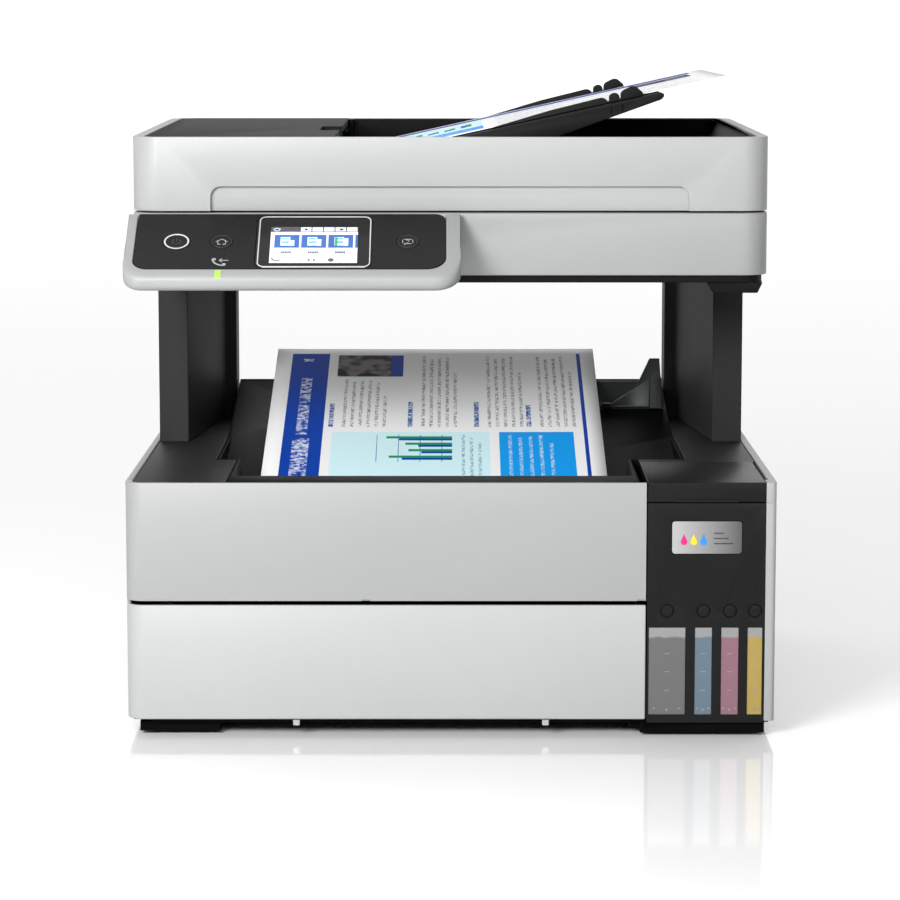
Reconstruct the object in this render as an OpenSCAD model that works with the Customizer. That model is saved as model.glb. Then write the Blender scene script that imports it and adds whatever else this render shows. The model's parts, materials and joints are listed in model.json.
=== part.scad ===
// Desktop inkjet printer with refillable ink tanks, flatbed scanner and document feeder.
// Millimetres. X runs to the right, Y from the front to the rear, Z up.
// The origin is on the floor, under the middle of the whole object.

/* [Overall size] */
// Width over the two side covers
body_w = 375; // [374:0.5:377]
// Depth from the nose of the control panel to the rear covers
body_d = 347; // [346:0.5:350]
// Height of the base up to its deck
base_h = 149; // [148.8:0.1:149.4]
// Width of the scanner and its lid
scanner_w = 372; // [371:0.5:374]
// Height of the white scanner trim's lower edge
scanner_z = 264; // [263.5:0.1:264.5]
// Height of the lid's lower edge
lid_z = 301.7; // [301.6:0.1:302]
// Height of the lid's front rim
lid_top = 344.5; // [344.3:0.1:346]
// Rise of the lid's top from front to rear
lid_rise = 2; // [1.5:0.1:2.5]

/* [Paper] */
// Width of a sheet
sheet_w = 210; // [200:1:210]
// Length of a sheet
sheet_l = 297; // [280:1:297]
// Thickness that stands for one sheet
sheet_t = 0.4; // [0.3:0.1:0.5]
// Middle of the paper path across the machine
feed_x = -10; // [-11:0.5:-9]

/* [Control panel] */
// Slope of the control panel's face from the horizontal
panel_tilt = 32; // [31:0.5:33]
// Diameter of the power button
power_d = 15.2; // [14:0.2:16]
// Diameter of the two small buttons
small_button_d = 12.4; // [11:0.2:13]

/* [Shells] */
// Wall of the outer covers
wall = 2.5; // [2:0.1:3]
// Radius of the base's front corners
base_r = 10; // [8:0.5:11]
// Radius of the lid's and the scanner's corners
lid_r = 16; // [12:1:20]
// Gap between pieces that move past each other
gap = 0.4; // [0.35:0.01:0.5]

/* [Hidden] */
$fn = 48;

white = [0.88, 0.89, 0.89];
dark = [0.16, 0.165, 0.17];
steel = [0.7, 0.71, 0.72];
rubber = [0.08, 0.08, 0.08];
paper = [0.97, 0.97, 0.97];

hw = body_w / 2;
sw = scanner_w / 2;
nose = 3.5;                    // how far the control panel stands ahead of the base
rear_d = body_d - nose;        // depth of the base, from its front face
pin_gap = 0.08;                // radial running clearance of every hinge pin
flange = 4.2;                  // width of the side covers' edge flange
e = 0.01;                      // overlap that joins solids of one piece

// y of a point that lies d behind the base's front face
function at(d) = d + nose - body_d / 2;

// Split between the white front panels and the ink tank unit
split_x = 112.7;
tank_x0 = 113.4;
tank_x1 = 181.2;
// Heights of the front panels
upper_z = 80;
lower_z0 = 10.4;
lower_z1 = 77.6;
cover_top = base_h - 0.2;

// Ink tanks: [left x, right x] of each window, from the left
windows = [[114.3, 135.8], [141, 151.1], [156.2, 166.5], [171.4, 180.2]];
window_z = [13, 64.5];
// Body of the tank behind each window
chambers = [[115.9, 138.2], [139.4, 152.9], [154.3, 167.8], [168.4, 178.4]];
tank_top = 98;
tank_d0 = 2.6;
tank_d1 = 80;
spout_d = 34;                  // distance of the filler spouts behind the front
cap_hinge_d = 50;
cap_hinge_z = tank_top + 8;
lid_hinge_d = 86.8;
lid_hinge_z = base_h - 2.2;
lid_hinge_r = 0.8;

foot_z = 2;                    // underside of the plinths, on the rubber feet

// Output tray: a sloping floor behind the front lip
tray_x0 = -129;
tray_x1 = 109;
tray_wide = 141.4;             // half width behind the tank unit
tray_step_d = 101;
lip_d = 31;
floor_d0 = 36;
floor_z0 = 118;
floor_d1 = 331;
floor_z1 = 172;
floor_t = 2.4;
floor_slope = (floor_z1 - floor_z0) / (floor_d1 - floor_d0);
function floor_z(d) = floor_z0 + (d - floor_d0) * floor_slope;
tray_hinge_d = 322;
tray_hinge_z = 160;

// Printed page: lies over the tray, rising to the rear
page_d = 317;                  // far edge
page_z = 193.6;
page_slope = 14.8;

// Stopper
stopper_d = 267;
stopper_top = 177.6;
ear_top = 192.5;
stopper_axis_d = 268;
stopper_axis_z = 160.9;
stopper_pin_r = 1.2;
stopper_bearings = [-60, 100]; // left faces of the two bearings
bearing_w = 5;
stopper_x0 = -85;
stopper_x1 = 139;

// Columns
column_d0 = 184;
column_d1 = 340;
column_x = 183;

// Print engine
rail_d = 192;
rail_z = 112;
rail_r = 4;
pulley_z = 122;
pulley_r = 7;
belt_t = 1.2;
pulley_x0 = -152;
pulley_x1 = 163;
belt_d0 = 200.4;
feed_d = 216.5;
feed_z = 83;
feed_r = 6;
feed_gear_teeth = 48;
pinion_teeth = 16;
gear_module = 0.8;
gear_span = gear_module * (feed_gear_teeth + pinion_teeth) / 2 + 0.1;
exit_d = 24;
exit_z = 104;
exit_r = 7;
pickup_d = 288;
pickup_z = 73.5;

// Cassette
cassette_x0 = feed_x - 114;
cassette_x1 = feed_x + 114;
cassette_d1 = 318;
cassette_z0 = 13;
cassette_z1 = 62;
guide_t = 3;

// Control panel
panel_x0 = -187;
panel_x1 = 6;
panel_d = 48;                  // upper edge of the face
panel_z = 300.7;
face_x0 = -181.5;
face_x1 = -2.6;
face_l = 54.5;                 // length of the face down its slope
panel_hinge_d = 45.3;
panel_hinge_z = 295;
panel_pin_r = 1.1;
button_l = 28.7;               // distance of the buttons down the slope
power_x = -157.6;
home_x = -131.6;
help_x = -24.6;

// Scanner and lid
scan_d0 = 50.7;
glass_x = [-165, 140];
glass_d = [90, 315];
hinge_x = [-130, 130];
lid_axis_d = 340;
lid_axis_z = 309.5;
lid_pin_r = 1.8;

// Document feeder
doc_slope = 12.4;
doc_x = 2.7;                   // a point on the sheet's underside
doc_z = 343.6;
doc_right = 164;
doc_d = [95, 305];
function doc_height(x) = doc_z + (x - doc_x) * tan(doc_slope);
intray_axis_x = -45;
intray_axis_z = 325;
lid_tilt = atan(lid_rise / (rear_d - scan_d0));
function lid_top_at(d) = lid_top + (d - scan_d0) * tan(lid_tilt);
rim_w = 6.3;                   // white rim beside the feeder's dark top
adf_axis_x = -177.3;
adf_axis_drop = 1.4;           // the feeder cover's hinge axis lies this far below the lid's top
adf_roller_x = -100;
adf_roller_z = 332.5;
recess_x0 = -64.6;
recess_floor = 316;

// --- shared shapes ---

module block(lo, hi) translate(lo) cube(hi - lo);

// A rod along X, along Y
module rod_x(x0, x1, y, z, r) translate([x0, y, z]) rotate([0, 90, 0]) cylinder(h = x1 - x0, r = r);
module rod_y(x, y0, y1, z, r) translate([x, y0, z]) rotate([-90, 0, 0]) cylinder(h = y1 - y0, r = r);

// A rectangle with round corners, from lo to hi
module round_rect(lo, hi, r) {
    translate([lo.x + r, lo.y]) square([hi.x - lo.x - 2 * r, hi.y - lo.y]);
    translate([lo.x, lo.y + r]) square([hi.x - lo.x, hi.y - lo.y - 2 * r]);
    for (x = [lo.x + r, hi.x - r], y = [lo.y + r, hi.y - r]) translate([x, y]) circle(r);
}

module slab(lo, hi, z0, z1, r) translate([0, 0, z0]) linear_extrude(z1 - z0) round_rect(lo, hi, r);

// An outline in Y and Z, drawn out from x0 to x1
module along_x(x0, x1, points) {
    translate([x0, 0, 0]) rotate([90, 0, 90]) linear_extrude(x1 - x0) polygon(points);
}

// An outline in X and Z, drawn out from y0 to y1
module along_y(y0, y1, points) {
    translate([0, y1, 0]) rotate([90, 0, 0]) linear_extrude(y1 - y0) polygon(points);
}

// Children drawn flat, with y up the panel's slope and z out of its face
module on_panel() translate([0, at(panel_d), panel_z]) rotate([panel_tilt, 0, 0]) children();

// A spur gear along X, with straight-sided teeth
module gear_x(x0, x1, y, z, teeth, turn = 0) {
    pitch_r = gear_module * teeth / 2;
    root_r = pitch_r - 1.25 * gear_module;
    tip_r = pitch_r + 0.9 * gear_module;
    step = 360 / teeth;
    outline = [for (i = [0 : teeth - 1], p = [[-0.36, root_r], [-0.12, tip_r], [0.12, tip_r], [0.36,
            root_r]])
        let (a = turn + (i + p[0]) * step) [p[1] * cos(a), p[1] * sin(a)]];
    translate([x0, y, z]) rotate([90, 0, 90]) linear_extrude(x1 - x0) polygon(outline);
}

// --- base ---

module base_tray() {
    rib_z = 79.4;
    color(dark) difference() {
        union() {
            block([-hw + 3, at(4), 8], [hw - 3, at(340), 11.6]);
            // plinths over the feet, and the plinth under the ink tanks
            for (x = [-180.5, 134]) block([x, at(280), foot_z], [x + 46.5, at(330), 8 + e]);
            block([-180.5, at(8), foot_z], [-134, at(60), 8 + e]);
            block([109.8, at(3), foot_z], [182, at(70), 8 + e]);
            block([103, at(8), 4.5], [110, at(60), 8 + e]);
            // side walls of the cassette bay
            for (x = [cassette_x0 - 4.5, cassette_x1 + 2]) block([x, at(6), 11], [x + 2.5, at(338), rib_z]);
            // back wall of the cassette bay
            block([cassette_x0 - 3, at(330), 11], [cassette_x1 + 3, at(332.5), 24]);
        }
        // room for the tank unit, and for the cassette front's round corner
        block([tank_x0 - 0.2, at(-1), 8], [tank_x1 + 0.2, at(90), 12]);
        block([-hw, at(0), 8], [-hw + 14, at(12), 12]);
        // bearings of the pickup roller
        rod_x(cassette_x0 - 6, cassette_x1 + 6, at(pickup_d), pickup_z, 3 + pin_gap);
    }
}

// A side cover is a wall with a flange round its top, seen from above
module side_cover_shell(front_d) {
    block([hw - wall, at(front_d), 9.6], [hw, at(rear_d), base_h]);
    block([hw - flange, at(front_d), base_h - wall], [hw, at(rear_d), base_h]);
    block([hw - flange, at(rear_d - wall), 9.6], [hw, at(rear_d), base_h]);
}

module left_side_cover() {
    color(white) mirror([1, 0, 0]) side_cover_shell(base_r + 0.4);
}

module right_side_cover() {
    corner = 3;
    color(white) difference() {
        union() {
            side_cover_shell(corner);
            // front strip beside the ink tanks, with a round corner
            difference() {
                translate([0, 0, 9.6]) linear_extrude(base_h - 9.6) {
                    translate([tank_x1 + 0.3, at(0)]) square([hw - corner - tank_x1 - 0.3, 12]);
                    translate([hw - corner, at(corner)]) square([corner, 12 - corner]);
                    translate([hw - corner, at(corner)]) circle(corner);
                }
                block([tank_x1 - 1, at(2.2), 9], [hw - wall, at(14), base_h - wall]);
            }
        }
        // seam level with the lid's lower edge
        block([tank_x1, at(-1), 137], [hw + 1, at(0.4), 137.5]);
        block([hw - 0.4, at(-1), 137], [hw + 1, at(89), 137.5]);
    }
}

// One white front panel: a wall whose left end wraps round to the side
module front_panel_shell(z0, z1) {
    difference() {
        translate([0, 0, z0]) linear_extrude(z1 - z0) difference() {
            union() {
                translate([-hw + base_r, at(0)]) square([split_x + hw - base_r, base_r]);
                translate([-hw + base_r, at(base_r)]) circle(base_r, $fn = 96);
            }
            translate([-hw + base_r, at(wall)]) square([split_x + hw, base_r * 2]);
            translate([-hw + base_r, at(base_r)]) circle(base_r - wall, $fn = 96);
            translate([-hw - 1, at(base_r)]) square([30, base_r + 1]);
        }
    }
}

module front_cover() {
    color(white) difference() {
        union() {
            front_panel_shell(upper_z, cover_top);
            // ledges that stiffen the panel
            block([-160, at(wall - e), upper_z], [split_x, at(5), upper_z + 2]);
            block([-160, at(wall - e), 143], [tray_x0 - 6, at(8), 145.6]);
        }
        // two small reliefs in the lower edge
        for (x = [-48.7, 110]) block([x - 2.2, at(-1), upper_z - 1], [x + 2.2, at(1), upper_z + 0.8]);
    }
}

module rear_panel() {
    d0 = rear_d - 5;
    color(dark) difference() {
        block([-hw + 5.4, at(d0), 11.8], [hw - 5.4, at(rear_d - 0.5), base_h - 3.2]);
        // opening for the removable rear cover
        block([-136, at(d0 - 1), 26], [116, at(rear_d), 132]);
        // opening for the mains inlet
        block([-174.6, at(d0 - 1), 29.4], [-145.4, at(rear_d), 50.6]);
        // openings for the connectors
        block([129.6, at(d0 - 1), 60], [145, at(rear_d), 73]);
        block([129.6, at(d0 - 1), 82], [147.5, at(rear_d), 96]);
        for (z = [104, 119]) block([129.6, at(d0 - 1), z], [144, at(rear_d), z + 12]);
        // cooling slots
        for (i = [0 : 5]) block([155, at(d0 - 1), 40 + i * 8], [175, at(rear_d), 43 + i * 8]);
    }
}

module top_deck() {
    z0 = base_h - 3;
    z1 = base_h - 0.4;
    rim = hw - flange - 0.4;
    color(dark) difference() {
        union() {
            block([-rim, at(wall + 0.4), z0], [rim, at(rear_d - 0.3), z1]);
            // bearings of the output tray's hinge
            for (side = [-1, 1]) along_x(side > 0 ? 160 : -165, side > 0 ? 165 : -160,
                [[at(tray_hinge_d - 6), z1 - e], [at(tray_hinge_d - 5), tray_hinge_z + 5],
                 [at(tray_hinge_d + 5), tray_hinge_z + 5], [at(tray_hinge_d + 6), z1 - e]]);
        }
        // opening for the output tray, narrow in front and wide behind
        block([tray_x0 - gap, at(-1), z0 - 1], [tray_x1 + gap, at(tray_step_d + 1), z1 + 1]);
        block([-tray_wide - gap, at(tray_step_d - gap), z0 - 1], [tray_wide + gap, at(338), z1 + 1]);
        // opening for the ink tank unit
        block([tank_x0 - 0.6, at(-1), z0 - 1], [rim + 1, at(90.2), z1 + 1]);
        block([tray_x1, at(-1), z0 - 1], [tank_x0, at(tray_step_d), z1 + 1]);
        for (side = [-1, 1]) rod_x(side > 0 ? 159 : -166, side > 0 ? 166 : -159,
            at(tray_hinge_d), tray_hinge_z, 2);
    }
}

// A hollow column, seen from above, on the right-hand side
module column() {
    z0 = base_h - 0.4;
    z1 = 259.4;
    outer = [[164.6, at(column_d0)], [column_x, at(column_d0)], [column_x, at(column_d1)],
        [142.6, at(column_d1)], [142.6, at(column_d1 - 26)], [150, at(column_d1 - 34)]];
    inner = [[167.2, at(column_d0 + 2.5)], [column_x - 2.5, at(column_d0 + 2.5)],
        [column_x - 2.5, at(column_d1 - 2.5)], [145.2, at(column_d1 - 2.5)],
        [145.2, at(column_d1 - 25)], [152.7, at(column_d1 - 33)]];
    difference() {
        translate([0, 0, z0]) linear_extrude(z1 - z0) polygon(outer);
        translate([0, 0, z0 - 1]) linear_extrude(z1 - z0 - 2) polygon(inner);
        // room for the hinge bearing
        block([158, at(tray_hinge_d - 8), z0 - 1], [167, at(tray_hinge_d + 8), tray_hinge_z + 7]);
        rod_x(140, 160, at(tray_hinge_d), tray_hinge_z, 3);
    }
}

module left_column() color(dark) mirror([1, 0, 0]) column();
module right_column() color(dark) column();

module feet() {
    color(rubber) {
        for (x = [-157, 157], d = [30, 305])
            translate([x, at(d), 0]) cylinder(h = foot_z, r = 9);
    }
}

// --- ink tanks ---

module ink_tank_housing() {
    z0 = 8.4;
    z1 = 137;
    color(dark) difference() {
        union() {
            difference() {
                block([tank_x0, at(0.2), z0], [tank_x1, at(88), z1]);
                block([tank_x0 + 1.2, at(2.3), z0 + 2.4], [tank_x1 - 1.2, at(86), z1 + 1]);
            }
            // shelf between the tanks and the filling recess, round the spouts
            block([tank_x0 + 1, at(2), tank_top + 0.4], [tank_x1 - 1, at(86.5), tank_top + 2.2]);
            // blocks that carry the caps' hinge pins
            for (c = chambers) block([(c[0] + c[1]) / 2 - 1.5, at(cap_hinge_d - 2), tank_top + 2],
                [(c[0] + c[1]) / 2 + 1.5, at(cap_hinge_d + 3), cap_hinge_z + 2]);
            // ears that carry the lid's hinge pins
            for (x = [tank_x0 + 2, tank_x1 - 5]) {
                block([x, at(84), z1 - 4], [x + 3, at(88), lid_hinge_z]);
                rod_x(x, x + 3, at(lid_hinge_d), lid_hinge_z, 1.2);
            }
        }
        for (w = windows) block([w[0], at(-1), window_z[0]], [w[1], at(3), window_z[1]]);
        for (c = chambers) translate([(c[0] + c[1]) / 2, at(spout_d), tank_top]) cylinder(h = 4, r = 4.6);
        for (c = chambers) rod_x(c[0], c[1], at(cap_hinge_d), cap_hinge_z, 1 + pin_gap);
        rod_x(tank_x0, tank_x1, at(lid_hinge_d), lid_hinge_z, lid_hinge_r + pin_gap);
        // rings pressed into the face above the windows
        for (w = windows) translate([(w[0] + w[1]) / 2, at(0), 74.2]) rotate([90, 0, 0])
            translate([0, 0, -0.5]) difference() {
                cylinder(h = 1, r = 4);
                cylinder(h = 3, r = 3.4, center = true);
            }
        // seat of the badge
        block([127.2, at(-1), 107.4], [167.9, at(0.7), 126.8]);
    }
}

// One ink chamber: a lens in the window, a hollow body and a filler spout
module ink_chamber(i) {
    c = chambers[i];
    w = windows[i];
    mid = (c[0] + c[1]) / 2;
    shell = 1.4;
    difference() {
        union() {
            block([c[0], at(tank_d0), 11.6], [c[1], at(tank_d1), tank_top]);
            block([w[0] + 0.2, at(0.9), window_z[0] + 0.2], [w[1] - 0.2, at(tank_d0 + 1),
                    window_z[1] - 0.2]);
            translate([mid, at(spout_d), tank_top - e]) cylinder(h = 5, r = 4);
        }
        block([c[0] + shell, at(tank_d0 + shell), 11.6 + shell], [c[1] - shell, at(tank_d1 - shell),
                tank_top - shell]);
        translate([mid, at(spout_d), tank_top - 3]) cylinder(h = 10, r = 2.5);
    }
}

module ink_tank_black() color([0.6, 0.6, 0.6, 0.6]) ink_chamber(0);
module ink_tank_colour() color([0.8, 0.8, 0.85, 0.6]) for (i = [1 : 3]) ink_chamber(i);

// A cap over a filler spout, on an arm to its hinge behind
module tank_cap(i) {
    mid = (chambers[i][0] + chambers[i][1]) / 2;
    top = tank_top + 8.6;
    difference() {
        union() {
            translate([mid, at(spout_d), tank_top + 2.6]) cylinder(h = top - tank_top - 2.6, r = 5.8);
            block([mid - 4, at(spout_d + 1), top - 3], [mid + 4, at(cap_hinge_d - 3.4), top]);
            for (x = [mid - 4, mid + 1.9])
                block([x, at(cap_hinge_d - 8), cap_hinge_z - 1.9], [x + 2.1, at(cap_hinge_d + 2),
                        cap_hinge_z + 1.9]);
            block([mid - 4, at(spout_d - 8.5), top - 2], [mid + 4, at(spout_d), top]);
            rod_x(mid - 3, mid + 3, at(cap_hinge_d), cap_hinge_z, 1);
        }
        translate([mid, at(spout_d), tank_top + 2]) cylinder(h = 4.4, r = 5);
    }
}

module tank_cap_black() color(dark) tank_cap(0);
module tank_cap_cyan() color("teal") tank_cap(1);
module tank_cap_magenta() color("palevioletred") tank_cap(2);
module tank_cap_yellow() color("goldenrod") tank_cap(3);

module tank_lid() {
    z0 = 137.6;
    ear = 3.4;
    color(dark) difference() {
        union() {
            block([tank_x0, at(0.1), base_h - 2.4], [tank_x1, at(88.4), base_h]);
            block([tank_x0, at(0.1), z0], [tank_x1, at(2.6), base_h]);
            for (x = [tank_x0, tank_x1 - 1.5]) block([x, at(0.1), z0], [x + 1.5, at(80), base_h]);
            // finger lip
            block([130.6, at(-0.9), z0], [166.2, at(1), z0 + 1.6]);
            for (x = [tank_x0 + 5.4, tank_x1 - 5.4 - ear])
                block([x, at(84.6), lid_hinge_z - 2], [x + ear, at(88.4), base_h - 1]);
            for (x = [tank_x0 + 2.2, tank_x1 - 8]) rod_x(x, x + 5.8, at(lid_hinge_d), lid_hinge_z,
                    lid_hinge_r);
        }
        // room for the housing's ears
        for (x = [tank_x0 + 1.6, tank_x1 - 5.4])
            difference() {
                block([x, at(83.4), z0], [x + 3.8, at(89), lid_hinge_z + 1.5]);
                rod_x(x - 1, x + 6, at(lid_hinge_d), lid_hinge_z, lid_hinge_r);
            }
    }
}

// --- print engine ---

module engine_frame() {
    x0 = -165;
    x1 = 178;
    color(steel) difference() {
        union() {
            // back plate and its folded top
            block([x0, at(204), 96], [x1, at(205.6), 134]);
            block([x0, at(204), 132.4], [x1, at(212), 134]);
            // end plates
            for (x = [x0, x1 - 1.6]) block([x, at(122), 72], [x + 1.6, at(228), 134]);
            rod_x(x0, x1, at(rail_d), rail_z, rail_r);
        }
        rod_x(x0 - 1, x1 + 1, at(feed_d), feed_z, 3 + pin_gap);
        rod_x(x0 - 1, x0 + 3, at(feed_d), feed_z + gear_span, 1.5 + pin_gap);
        for (x = [pulley_x0, pulley_x1]) rod_y(x, at(203), at(207), pulley_z, 1.5 + pin_gap);
    }
}

module carriage_belt() {
    color(rubber) translate([0, at(belt_d0 + 3), 0]) rotate([90, 0, 0]) linear_extrude(3) difference() {
        belt_outline(pulley_r + belt_t + 0.15);
        belt_outline(pulley_r + 0.15);
    }
}

module belt_outline(r) {
    for (x = [pulley_x0, pulley_x1]) translate([x, pulley_z]) circle(r);
    translate([pulley_x0, pulley_z - r]) square([pulley_x1 - pulley_x0, 2 * r]);
}

module belt_pulley(x) {
    color([0.85, 0.84, 0.8]) {
        rod_y(x, at(belt_d0), at(belt_d0 + 3), pulley_z, pulley_r);
        rod_y(x, at(belt_d0 - 0.2), at(206.4), pulley_z, 1.5);
    }
}

module motor_pulley() belt_pulley(pulley_x1);
module idler_pulley() belt_pulley(pulley_x0);

module drive_motors() {
    color([0.55, 0.56, 0.58]) {
        // carriage motor behind the back plate
        difference() {
            rod_y(pulley_x1, at(205.6), at(236), pulley_z, 10);
            rod_y(pulley_x1, at(205), at(207), pulley_z, 3);
        }
        // paper feed motor inside the left end plate
        difference() {
            rod_x(-163.4, -140, at(feed_d), feed_z + gear_span, 10.5);
            rod_x(-164, -161, at(feed_d), feed_z + gear_span, 3);
        }
    }
}

module feed_roller() {
    color([0.3, 0.3, 0.31]) {
        rod_x(-172, 179, at(feed_d), feed_z, 3);
        rod_x(-124, 104, at(feed_d), feed_z, feed_r);
        gear_x(-171.4, -167.4, at(feed_d), feed_z, feed_gear_teeth);
    }
}

module motor_pinion() {
    color([0.8, 0.7, 0.4]) {
        gear_x(-171.4, -167.4, at(feed_d), feed_z + gear_span, pinion_teeth, 90 + 180 / pinion_teeth);
        rod_x(-168, -162, at(feed_d), feed_z + gear_span, 1.5);
    }
}

module print_carriage() {
    x0 = 122;
    x1 = 170;
    color([0.12, 0.12, 0.13]) difference() {
        union() {
            block([x0, at(138), 97], [x1, at(186), 126]);
            block([x0, at(184), rail_z - 9], [x1, at(199.6), rail_z + 9]);
        }
        block([x0 + 2, at(140), 99], [x1 - 2, at(182), 127]);
        rod_x(x0 - 1, x1 + 1, at(rail_d), rail_z, rail_r + 0.06);
    }
}

module print_head() {
    color([0.5, 0.5, 0.52]) {
        block([126, at(142), 99], [166, at(180), 108]);
        block([132, at(148), 93.2], [160, at(176), 97]);
    }
}

module capping_station() {
    color([0.75, 0.75, 0.77]) difference() {
        union() {
            block([122, at(136), 74], [172, at(196), 91]);
            block([144, at(158), 11.6], [150, at(174), 74 + e]);
        }
        block([134, at(150), 84], [158, at(174), 92]);
    }
}

// Ribbed platen below the head, with the chute that turns the paper up to the exit
module paper_guide() {
    x0 = -128;
    x1 = 106;
    color([0.2, 0.2, 0.21]) {
        block([x0, at(138), 79.4], [x1, at(202), 86.4]);
        for (i = [0 : 12]) block([x0 + 8 + i * 18, at(140), 86], [x0 + 10 + i * 18, at(200), 88]);
        // front chute
        along_x(x0, x1, [[at(138 + e), 80], [at(138 + e), 82.4], [at(34), 84.4], [at(14), 90], [at(9), 100],
            [at(9), 112], [at(6.6), 112], [at(6.6), 98], [at(12), 87.6], [at(33), 82]]);
        // bearings of the exit roller
        for (x = [x0, x1 - 3]) difference() {
            block([x, at(12), 84], [x + 3, at(36), exit_z + 6]);
            rod_x(x - 1, x + 4, at(exit_d), exit_z, 3 + pin_gap);
        }
    }
}

module exit_roller() {
    color([0.3, 0.3, 0.31]) {
        rod_x(-130, 108, at(exit_d), exit_z, 3);
        for (i = [0 : 5]) rod_x(-110 + i * 36, -96 + i * 36, at(exit_d), exit_z, exit_r);
    }
}

module pickup_roller() {
    color(rubber) {
        rod_x(cassette_x0 - 5.5, cassette_x1 + 5.5, at(pickup_d), pickup_z, 3);
        rod_x(feed_x - 22, feed_x + 22, at(pickup_d), pickup_z, 9);
    }
}

module main_board() {
    color([0.1, 0.35, 0.2]) {
        block([128.4, at(238), 52], [130, at(337.6), 136]);
        for (d = [246, 322]) block([128.4, at(d), 11.6], [130, at(d + 8), 52 + e]);
        // connectors that reach the rear panel
        block([130, at(318), 60.6], [144, at(342.4), 72.4]);
        block([130, at(318), 82.6], [147, at(342.4), 95.4]);
        for (z = [104.6, 119.6]) block([130, at(322), z], [143.4, at(342.4), z + 10.8]);
        block([130, at(255), 80], [134, at(285), 110]);
    }
}

module power_supply() {
    color([0.22, 0.22, 0.23]) {
        block([-180, at(232), 11.6], [-133, at(326), 60]);
        // mains inlet with two round contacts
        difference() {
            block([-174, at(325), 30], [-146, at(343), 50]);
            translate([0, at(344), 0]) rotate([90, 0, 0]) linear_extrude(14)
                round_rect([-171, 33], [-149, 47], 6.9);
        }
        for (x = [-164.5, -155.5]) rod_y(x, at(328), at(341), 40, 1.2);
    }
}

// --- cassette ---

module cassette_tray() {
    x0 = cassette_x0;
    x1 = cassette_x1;
    z0 = cassette_z0;
    color(dark) difference() {
        block([x0, at(wall), z0], [x1, at(cassette_d1), cassette_z1]);
        block([x0 + 2.5, at(10), z0 + 2.4], [x1 - 2.5, at(cassette_d1 - 2.5), cassette_z1 + 1]);
        // low rear wall, where the sheets are picked up
        block([x0 + 20, at(cassette_d1 - 4), 40], [x1 - 20, at(cassette_d1 + 1), cassette_z1 + 1]);
        // slots that the guides run in
        for (d = [100, 200]) block([feed_x - 110, at(d), z0 - 1], [feed_x + 110, at(d + 4), z0 + 5]);
    }
}

// A side guide's wall, and the feet that run in the cassette's slots
module cassette_guide(side) {
    inner = side * (sheet_w / 2 + 0.6);
    color([0.35, 0.36, 0.38]) translate([feed_x, 0, 0]) {
        block([min(inner, inner + side * guide_t), at(80), cassette_z0 + 2.8],
            [max(inner, inner + side * guide_t), at(230), cassette_z1 - 4]);
        for (d = [100, 200])
            block([min(inner - side * 12, inner + side * 1), at(d + 0.5), cassette_z0 + 0.6],
                [max(inner - side * 12, inner + side * 1), at(d + 3.5), cassette_z0 + 3.6]);
    }
}

module cassette_guide_left() cassette_guide(-1);
module cassette_guide_right() cassette_guide(1);

module cassette_front() {
    color(white) {
        front_panel_shell(lower_z0, lower_z1);
        // two small tabs under the lower edge
        for (x = [-91.3, 53.1]) block([x, at(0.6), 6.5], [x + 4, at(wall), lower_z0 + 1]);
    }
}

// --- output tray ---

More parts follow.
